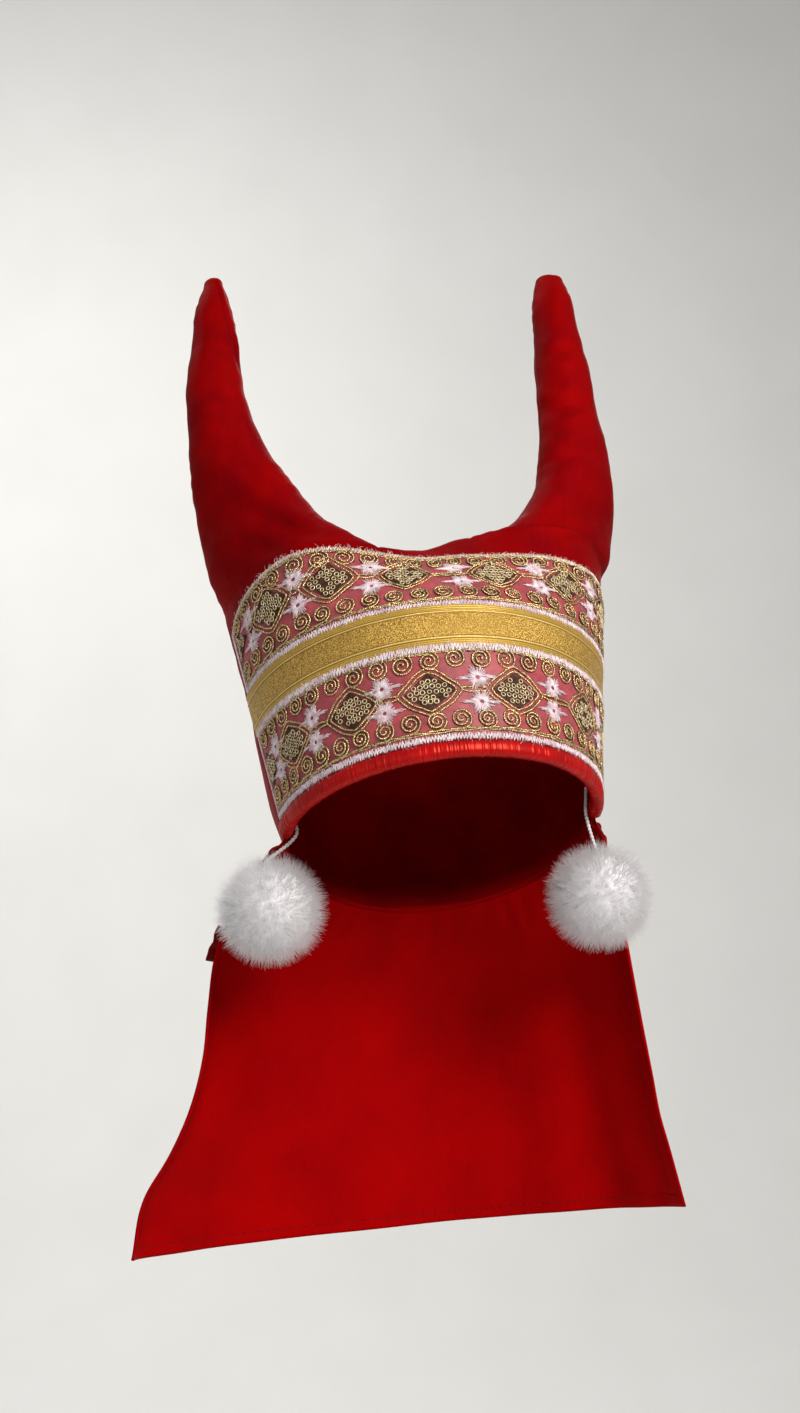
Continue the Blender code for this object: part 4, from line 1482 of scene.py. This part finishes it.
def laceFrame(lace, s, v, out):
    place = onLace(lace, s, v, out)
    along = onLace(lace, s + 4e-4, v, out) - onLace(lace, s - 4e-4, v, out)
    up = onLace(lace, s, v + 4e-4, out) - onLace(lace, s, v - 4e-4, out)
    along /= np.linalg.norm(along, axis=-1, keepdims=True)
    up /= np.linalg.norm(up, axis=-1, keepdims=True)
    normal = np.cross(along, up)
    return place, along, up, normal / np.linalg.norm(normal, axis=-1, keepdims=True)


def diamondLine(lace, s, v, inset, drift):
    a, b = lace["half"]
    t = np.linspace(0, 2 * pi, 160) + 0.3
    power = motif["diamondPower"]
    c, n = np.cos(t), np.sin(t)
    reach = (np.abs(c) ** (1 / power) + np.abs(n) ** (1 / power)) ** (-power)
    reach = reach * (1 + 0.018 * np.sin(3 * t + drift) + 0.012 * np.sin(7 * t + 2 * drift))
    return onLace(lace, s + (a - inset * 1.15) * reach * c, v + (b - inset) * reach * n, motif["cordOut"])


def spiralLine(lace, s, v, hand, foot, lineHeight):
    t = np.linspace(0, 1, 76)
    start = rng.uniform(-0.4, 0.4)
    stop = -pi / 2 if foot < 0 else pi / 2
    turn = stop - hand * (1 - t) * 2 * pi * motif["spiralTurns"] + start * (1 - t)
    near = motif["spiralStart"]
    radius = near + (motif["spiralRadius"] * rng.uniform(0.93, 1.05) - near) * t**0.9
    ds, dv = radius * np.cos(turn), radius * np.sin(turn)
    k = np.linspace(0, 1, 14)[1:]
    tailS = ds[-1] - foot * hand * motif["spiralTail"] * k
    tailV = dv[-1] + (lineHeight - v - dv[-1]) * ease(k)
    ds, dv = np.concatenate([ds, tailS]), np.concatenate([dv, tailV])
    out = motif["cordOut"] + 0.0003 * np.sin(np.linspace(0, 9, len(ds))) ** 2
    return onLace(lace, s + ds, v + dv, out)


def goldLines(lace):
    end = motif["endGap"]
    last = tapeSpan(lace["size"][2]) - 0.002
    lines = []
    for k, s in enumerate(lace["diamonds"]):
        if abs(s) + end > last:
            continue
        for inset in (0.0, motif["lineGap"]):
            lines.append(diamondLine(lace, s, lace["middle"], inset, k + 40 * inset))
    for row, (v, foot, lineHeight) in enumerate(zip(lace["spiralHeights"], (-1, 1), lace["lines"])):
        count = int(2 * (last - end) / motif["spiralPitch"])
        for s in np.linspace(-last + end, last - end, count + 1):
            s = s + rng.uniform(-0.0005, 0.0005)
            lift = v + rng.uniform(-0.0005, 0.0005)
            lines.append(spiralLine(lace, s, lift, 1 if row else -1, foot, lineHeight))
        s = np.linspace(-last, last, 700)
        for aside in (0.0, motif["edgeGap"]):
            wave = 0.00022 * np.sin(s / 0.0021 + aside * 4000) + 0.0003 * np.sin(s / 0.0117)
            lines.append(onLace(lace, s, lineHeight + foot * aside + wave, motif["cordOut"] - 0.0002))
    for first, second in zip(lace["diamonds"][:-1], lace["diamonds"][1:]):
        a, b = first + lace["half"][0], second - lace["half"][0]
        s = np.linspace(max(a, -last), min(b, last), 60)
        share = np.linspace(0, 1, 60)
        for sign in (-1, 1):
            gap = sign * (0.0007 + 0.0006 * np.sin(pi * share))
            v = lace["middle"] + gap + 0.0002 * np.sin(s / 0.0012)
            lines.append(onLace(lace, s, v, motif["cordOut"]))
    return lines


# Sinks lines just under the wall's face; used for the painted shadow cords.
def sunk(lines, depth):
    ends = [len(line) for line in lines]
    points = np.vstack(lines)
    inside = worn(np.array([0.0, 0.0, 0.06]))
    into = (inside - points) * np.array([1.0, 1.0, 0.25])
    into /= np.linalg.norm(into, axis=1, keepdims=True)
    return np.split(points + into * depth, np.cumsum(ends)[:-1])


def fuzzLines(lace, edges):
    last = tapeSpan(lace["size"][2]) - 0.002
    lines = []
    t = np.linspace(0, 1, 5)
    for low, high in (edge[:2] for edge in edges):
        for s in rng.uniform(-last, last, motif["fuzzCount"]):
            v = (low + high) / 2 + rng.uniform(-0.4, 0.4) * (high - low)
            v = v + rng.choice((-1, 1)) * motif["fuzzLength"] * t
            bend = rng.normal(0, 0.0010) * t + rng.normal(0, 0.0008) * t**2
            lines.append(onLace(lace, s + bend, v, 0.0014 + 0.0011 * np.sin(t * 2.2)))
    return lines


def fillLines(lace):
    lines = []
    last = tapeSpan(lace["size"][2]) - 0.004
    a, b = (half - inset for half, inset in zip(lace["half"], motif["fillInset"]))
    for centre in lace["diamonds"]:
        for side in (-1, 1):
            path = []
            for k, row in enumerate(np.arange(-0.93, 0.94, motif["fillPitch"] / b)):
                run = np.linspace(-1, 1, 9) * (1 if k % 2 else -1) * 0.94  # there and back by turns
                path += [((row + r) / 2 * a, side * (row - r) / 2 * b) for r in run]
            path = np.array(path) + rng.normal(0, 0.00012, (len(path), 2))
            path = path[np.abs(centre + path[:, 0]) < last]
            if len(path) > 4:
                s, v = centre + path[:, 0], lace["middle"] + path[:, 1]
                lines.append(onLace(lace, s, v, 0.0010 + 0.0001 * side))
    return lines


def sequinFrames(lace):
    a, b = (half - inset for half, inset in zip(lace["half"], motif["sequinInset"]))
    pitch = motif["sequinPitch"]
    last = tapeSpan(lace["size"][2]) - 0.004
    s, v = [], []
    for centre in lace["diamonds"]:
        for i in range(-8, 9):
            for j in range(-8, 9):
                x, y = (i + 0.5 * (j % 2)) * pitch, j * pitch * 0.88
                inside = abs(x) / a + abs(y) / b < 1.02 and abs(centre + x) < last
                if inside and rng.random() < motif["sequinShare"]:
                    s.append(centre + x + rng.normal(0, 0.00016))
                    v.append(lace["middle"] + y + rng.normal(0, 0.00016))
    place, along, up, normal = laceFrame(lace, np.array(s), np.array(v), 0.0015)
    normal = normal + rng.normal(0, 0.09, normal.shape)
    size = np.full((len(s), 3), motif["sequin"]) * rng.uniform(0.92, 1.08, (len(s), 1))
    return place, normal, along, size


def flowerFrames(lace):
    last = tapeSpan(lace["size"][2]) - 0.003
    rays = []  # place s and v, direction s and v, length, width

    def take(cs, cv, turn, near, far, girth):
        middle = (near + far) / 2
        c, n = np.cos(turn), np.sin(turn)
        rays.append((cs + middle * c, cv + middle * n, c, n, far - near, girth))

    radius, thin = motif["flowerRadius"], motif["thinRayGirth"]
    near, far = motif["longRay"]
    for centre in lace["flowers"]:
        for lift in lace["flowerHeights"]:
            cs, cv = centre + rng.normal(0, 0.0005), lift + rng.normal(0, 0.0003)
            phase = rng.uniform(-0.15, 0.15)
            for k in range(motif["rays"]):
                turn = 2 * pi * k / motif["rays"] + rng.normal(0, 0.02)
                petal = 0.60 + 0.36 * abs(np.cos(3 * (turn - phase))) ** 0.8
                take(cs, cv, turn, 0.0008, radius * petal * rng.uniform(0.84, 1.14), motif["rayGirth"])
                if k % 2:
                    take(cs, cv, turn + 0.08, 0.0009, radius * 0.55 * rng.uniform(0.8, 1.2), thin)
            for side in (0.0, pi):
                for fan in (-0.07, 0.0, 0.07):
                    take(cs, cv, side + fan + phase * 0.3, near, far - 6 * abs(fan) * 0.004, thin)
    table = np.array(rays)
    s, v, ds, dv, length, width = np.ascontiguousarray(table[np.abs(table[:, 0]) < last].T)
    place, along, up, normal = laceFrame(lace, s, v, 0.00115)
    aim = along * ds[:, None] + up * dv[:, None]
    size = np.stack([length, width, 0 * width + 0.00062], -1)
    return place, normal, aim, size


def bandFrames(lace, low, high, pitch, slant):
    last = tapeSpan(lace["size"][2]) - 0.001
    s = np.arange(-last, last, pitch) + rng.normal(0, pitch * 0.12, len(np.arange(-last, last, pitch)))
    sign = np.where(np.arange(len(s)) % 2, 1, -1)
    wide = (high - low) * rng.uniform(0.62, 1.16, len(s))
    place, along, up, normal = laceFrame(lace, s, (low + high) / 2 + rng.normal(0, 0.00012, len(s)), 0.00150)
    aim = up + along * (sign * slant + rng.normal(0, 0.16, len(s)))[:, None]
    size = np.stack([wide, 0 * wide + pitch * 0.86, 0 * wide + 0.0006], -1)
    return place, normal, aim, size


def zigzagLine(lace, low, high, pitch):
    last = tapeSpan(lace["size"][2]) - 0.001
    s = np.arange(-last, last, pitch * 0.9)
    v = np.where(np.arange(len(s)) % 2, low, high) + rng.normal(0, 0.0003, len(s))
    return onLace(lace, s, v, 0.00165)


def joinFrames(*frames):
    return tuple(np.vstack([f[k] for f in frames]) for k in range(4))


bands = {  # low, high, pitch, slant
    "upper": ((0.0778, 0.0814, 0.00078, 0.26), (0.1264, 0.1292, 0.00085, 0.32)),
    "lower": ((0.0526, 0.0570, 0.00082, 0.15), (0.0058, 0.0096, 0.00080, 0.20)),
}


def endFrames(lace):
    low, high, end = lace["size"]
    edge = tapeSpan(end) - 0.0010
    v = np.tile(np.arange(low + 0.001, high - 0.001, 0.0011), 2)
    s = np.repeat((-edge, edge), len(v) // 2)
    place, along, up, normal = laceFrame(lace, s, v, 0.00140)
    aim = along + up * rng.normal(0, 0.2, len(s))[:, None]
    wide, high = np.full(len(s), 0.0009), np.full(len(s), 0.0006)
    size = np.stack([rng.uniform(0.0024, 0.0034, len(s)), wide, high], -1)
    return place, normal, aim, size


def buildEmbroidery(title):
    lace, edges = laces[title], bands[title]

    def laid(piece, lines, radius, twist, step, look):
        return threadAlong(title + "Lace" + piece, lines, radius, twist, step, thread[look])

    def sewn(piece, makeShape, frames, look):
        return placed(title + "Lace" + piece, makeShape, *frames, thread[look])

    golds = goldLines(lace)
    # Dark cords sunk just under the gold ones, a painted shadow along each.
    shadowCords = sunk(golds, motif["shadowCordDepth"])
    overlocked = edges[:1] if title == "upper" else edges
    made = [
        laid("GoldCord", golds, motif["cordRadius"], motif["cordTwist"], 0.00056, "goldThread"),
        laid("BackCord", shadowCords, motif["shadowCordRadius"], 0.0040, 0.0012, "bronzeThread"),
        laid("Fuzz", fuzzLines(lace, edges), motif["fuzzRadius"], 0.002, 0.0012, "overlockThread"),
        laid("FillThread", fillLines(lace), motif["fillRadius"], 0.0013, 0.0010, "bronzeThread"),
        sewn("Sequins", ringShape, sequinFrames(lace), "sequinGold"),
        sewn("Flowers", stitchShape, flowerFrames(lace), "whiteThread"),
    ]
    overlock = joinFrames(endFrames(lace), *(bandFrames(lace, *edge) for edge in overlocked))
    made.append(sewn("Overlock", stitchShape, overlock, "overlockThread"))
    zigzags = [zigzagLine(lace, *edge[:3]) for edge in edges]
    made.append(laid("Zigzag", zigzags, motif["zigzagRadius"], 0.0012, 0.0007, "overlockThread"))
    if title == "upper":
        made.append(sewn("TopEdge", stitchShape, bandFrames(lace, *edges[1]), "paleGoldThread"))
    for piece in made:
        finished(piece, lace["node"], lace["node"])
    print(title, "embroidery", [len(piece.data.polygons) for piece in made])


def buildHemStitches():
    parts = []
    for across, drops in hemLines(clothMake["hem"] - 0.0015):
        line = clothPoint(across, drops)
        length = np.concatenate([[0], np.cumsum(np.linalg.norm(np.diff(line, axis=0), axis=1))])
        even = np.arange(0.002, length[-1] - 0.002, clothMake["stitchPitch"])
        a, d = np.interp(even, length, across), np.interp(even, length, drops)
        here = clothPoint(a, d)
        ahead = even + 0.001
        aim = clothPoint(np.interp(ahead, length, across), np.interp(ahead, length, drops)) - here
        normal = clothOutside(a, d, 0.001) - here
        normal /= np.linalg.norm(normal, axis=-1, keepdims=True)
        size = np.tile((clothMake["stitchPitch"] * 0.72, 0.00075, 0.0004), (len(a), 1))
        parts.append((clothOutside(a, d, clothMake["thick"] * 1.5), normal, aim, size))
        parts.append((clothOutside(a, d, -0.00005), -normal, aim, size))
    stitches = placed("napeHemStitches", stitchShape, *joinFrames(*parts), thread["redThread"])
    return finished(stitches, "nape_cloth", "nape_cloth")


buildHemStitches()
for title in laces:
    buildEmbroidery(title)
print("stage: embroidery")


# Pompoms: centre, strands, and the path of the cord that carries each.
pompoms = {
    "left": {"centre": (-0.0935, -0.011, -0.0375), "seed": 4},
    "right": {"centre": (0.0790, -0.011, -0.0430), "seed": 9},
}
pompomMake = {"core": 0.0225, "down": 0.0217, "hair": 0.0084, "strands": 9400, "hairRadius": 0.00012}
cordMake = {
    "radius": 0.0009,
    "angle": radians(84),
    # Down the inside of the wall: height above the rim, distance from the wall.
    "inside": (
        (0.0165, 0),
        (0.0163, 0.0015),
        (0.0145, 0.0029),
        (0.0110, 0.0032),
        (0.0060, 0.0032),
        (-0.0005, 0.0032),
    ),
    # From the rim to the fur ball: share of the way across, share of the way down.
    "hanging": ((0.2, 0.3), (0.66, 0.64), (0.95, 0.84), (1.0, 1.0)),
}


def cordPath(centre):
    x, y, z = centre
    sign = -1 if x < 0 else 1
    inner = -form["wallThick"] - 0.0003
    path = [worn(wall(sign * cordMake["angle"], height, inner - out)) for height, out in cordMake["inside"]]
    start = path[-1]
    for out, down in cordMake["hanging"]:
        level = start[2] + (z + pompomMake["core"] + 0.0007 - start[2]) * down
        path.append(np.array([start[0] + (x - start[0]) * out, start[1] + (y - start[1]) * out, level]))
    table = np.column_stack([np.arange(len(path), dtype=float), path])
    return smoothRows(table, np.linspace(0, len(path) - 1, 90))[:, 1:]


def pompomCore(name, centre, radius):
    bm = bmesh.new()
    bmesh.ops.create_icosphere(bm, subdivisions=5, radius=radius)
    mesh = bpy.data.meshes.new(name)
    bm.to_mesh(mesh)
    bm.free()
    mesh.materials.append(thread["whiteFurDown"])
    mesh.shade_smooth()
    thing = bpy.data.objects.new(name, mesh)
    bpy.context.scene.collection.objects.link(thing)
    places, normals = vertexArrays(thing)
    lift = 0.0011 * rough(places, 0.0032) + 0.0006 * rough(places, 0.0014, 2.0)
    shift(thing, places + normals * lift[:, None] + np.array(centre))
    return thing


def buildPompom(side):
    centre = pompoms[side]["centre"]
    core = pompomCore("pompomDown" + side.title(), centre, pompomMake["down"])
    base = pompomCore("furBase", centre, pompomMake["down"] - 0.0010)
    area = 4 * pi * pompomMake["down"] ** 2
    values = {
        "Density": pompomMake["strands"] / area,
        "Length": pompomMake["hair"],
        "Radius": pompomMake["hairRadius"],
        "Seed": pompoms[side]["seed"],
        "Material": thread["whiteFurHair"],
    }
    hair = grown("pompomHair" + side.title(), base, furStrands, values)
    for piece in (core, hair):
        finished(piece, "pompom_" + side, "white_fur")
    path = cordPath(centre)
    radius, title = cordMake["radius"], "pompomCord" + side.title()
    line = threadAlong(title, [path], radius * 0.95, 0.0042, 0.00035, thread["whiteCord"])
    finished(line, "pompom_cord_" + side, "white_cord")
    tuple(path[0])
    [tuple(p) for p in path]


for side in pompoms:
    buildPompom(side)
print("stage: pompoms")


# Studio: plain pale floor, soft key from the right, broad fill.
studio = {
    "floor": -0.75,
    "back": 2.6,
    "bend": 1.2,
    "world": (0.80, 0.80, 0.80),
    "worldPower": 0.36,
    "key": {"place": (0.66, -1.38, 0.66), "size": 0.84, "power": 32.0, "colour": (1.0, 0.96, 0.90)},
    "fill": {"place": (-1.3, -1.2, 0.3), "size": 1.2, "power": 3.5, "colour": (0.95, 0.97, 1.0)},
    "rim": {"place": (0.5, 1.3, 0.9), "size": 0.9, "power": 6.0, "colour": (1.0, 1.0, 1.0)},
    "wallWash": {"place": (-0.6, 0.9, 1.5), "size": 1.5, "power": 30.0, "colour": (1.0, 0.99, 0.97)},
}


def makeStudio():
    world = bpy.data.worlds.new("studio")
    bpy.context.scene.world = world
    world.use_nodes = True
    sky = world.node_tree.nodes["Background"]
    sky.inputs[0].default_value = (*studio["world"], 1.0)
    sky.inputs[1].default_value = studio["worldPower"]
    target = Vector((0.0, 0.0, 0.08))
    for name in ("key", "fill", "rim", "wallWash"):
        look = studio[name]
        data = bpy.data.lights.new(name, "AREA")
        data.shape, data.size = "DISK", look["size"]
        data.energy, data.color = look["power"], look["colour"]
        lamp = bpy.data.objects.new(name, data)
        lamp.location = look["place"]
        aim = Vector((0.0, 2.6, 0.0)) if name == "wallWash" else target
        lamp.rotation_euler = (aim - Vector(look["place"])).to_track_quat("-Z", "Y").to_euler()
        bpy.context.scene.collection.objects.link(lamp)
    material, tree, shader = newMaterial("paleFloor")
    place = add(tree, "ShaderNodeTexCoord").outputs["Object"]
    tone = blendColours(tree, noiseAt(tree, place, 6.0), (0.72, 0.715, 0.70), (0.78, 0.775, 0.76))
    tree.links.new(tone, shader.inputs["Base Color"])
    shader.inputs["Roughness"].default_value = 0.85
    z, back, bend = studio["floor"], studio["back"], studio["bend"]
    turns = np.linspace(0, pi / 2, 25)
    curve = [(back - bend + bend * sin(t), z + bend - bend * cos(t)) for t in turns]
    profile = [(-5.0, z)] + curve + [(back, z + 6.0)]
    sides = np.linspace(-6, 6, 2)
    grid = np.array([[(x, y, h) for x in sides] for y, h in profile])
    floor = meshObject("floor", grid, gridFaces(len(profile), 2), material)


makeStudio()
bpy.context.scene.view_settings.view_transform = "Standard"
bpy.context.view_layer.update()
shownFaces = [len(p.data.polygons) for p in bpy.data.objects if p.type == "MESH" and not p.hide_render]
print("stage: done", sum(shownFaces))
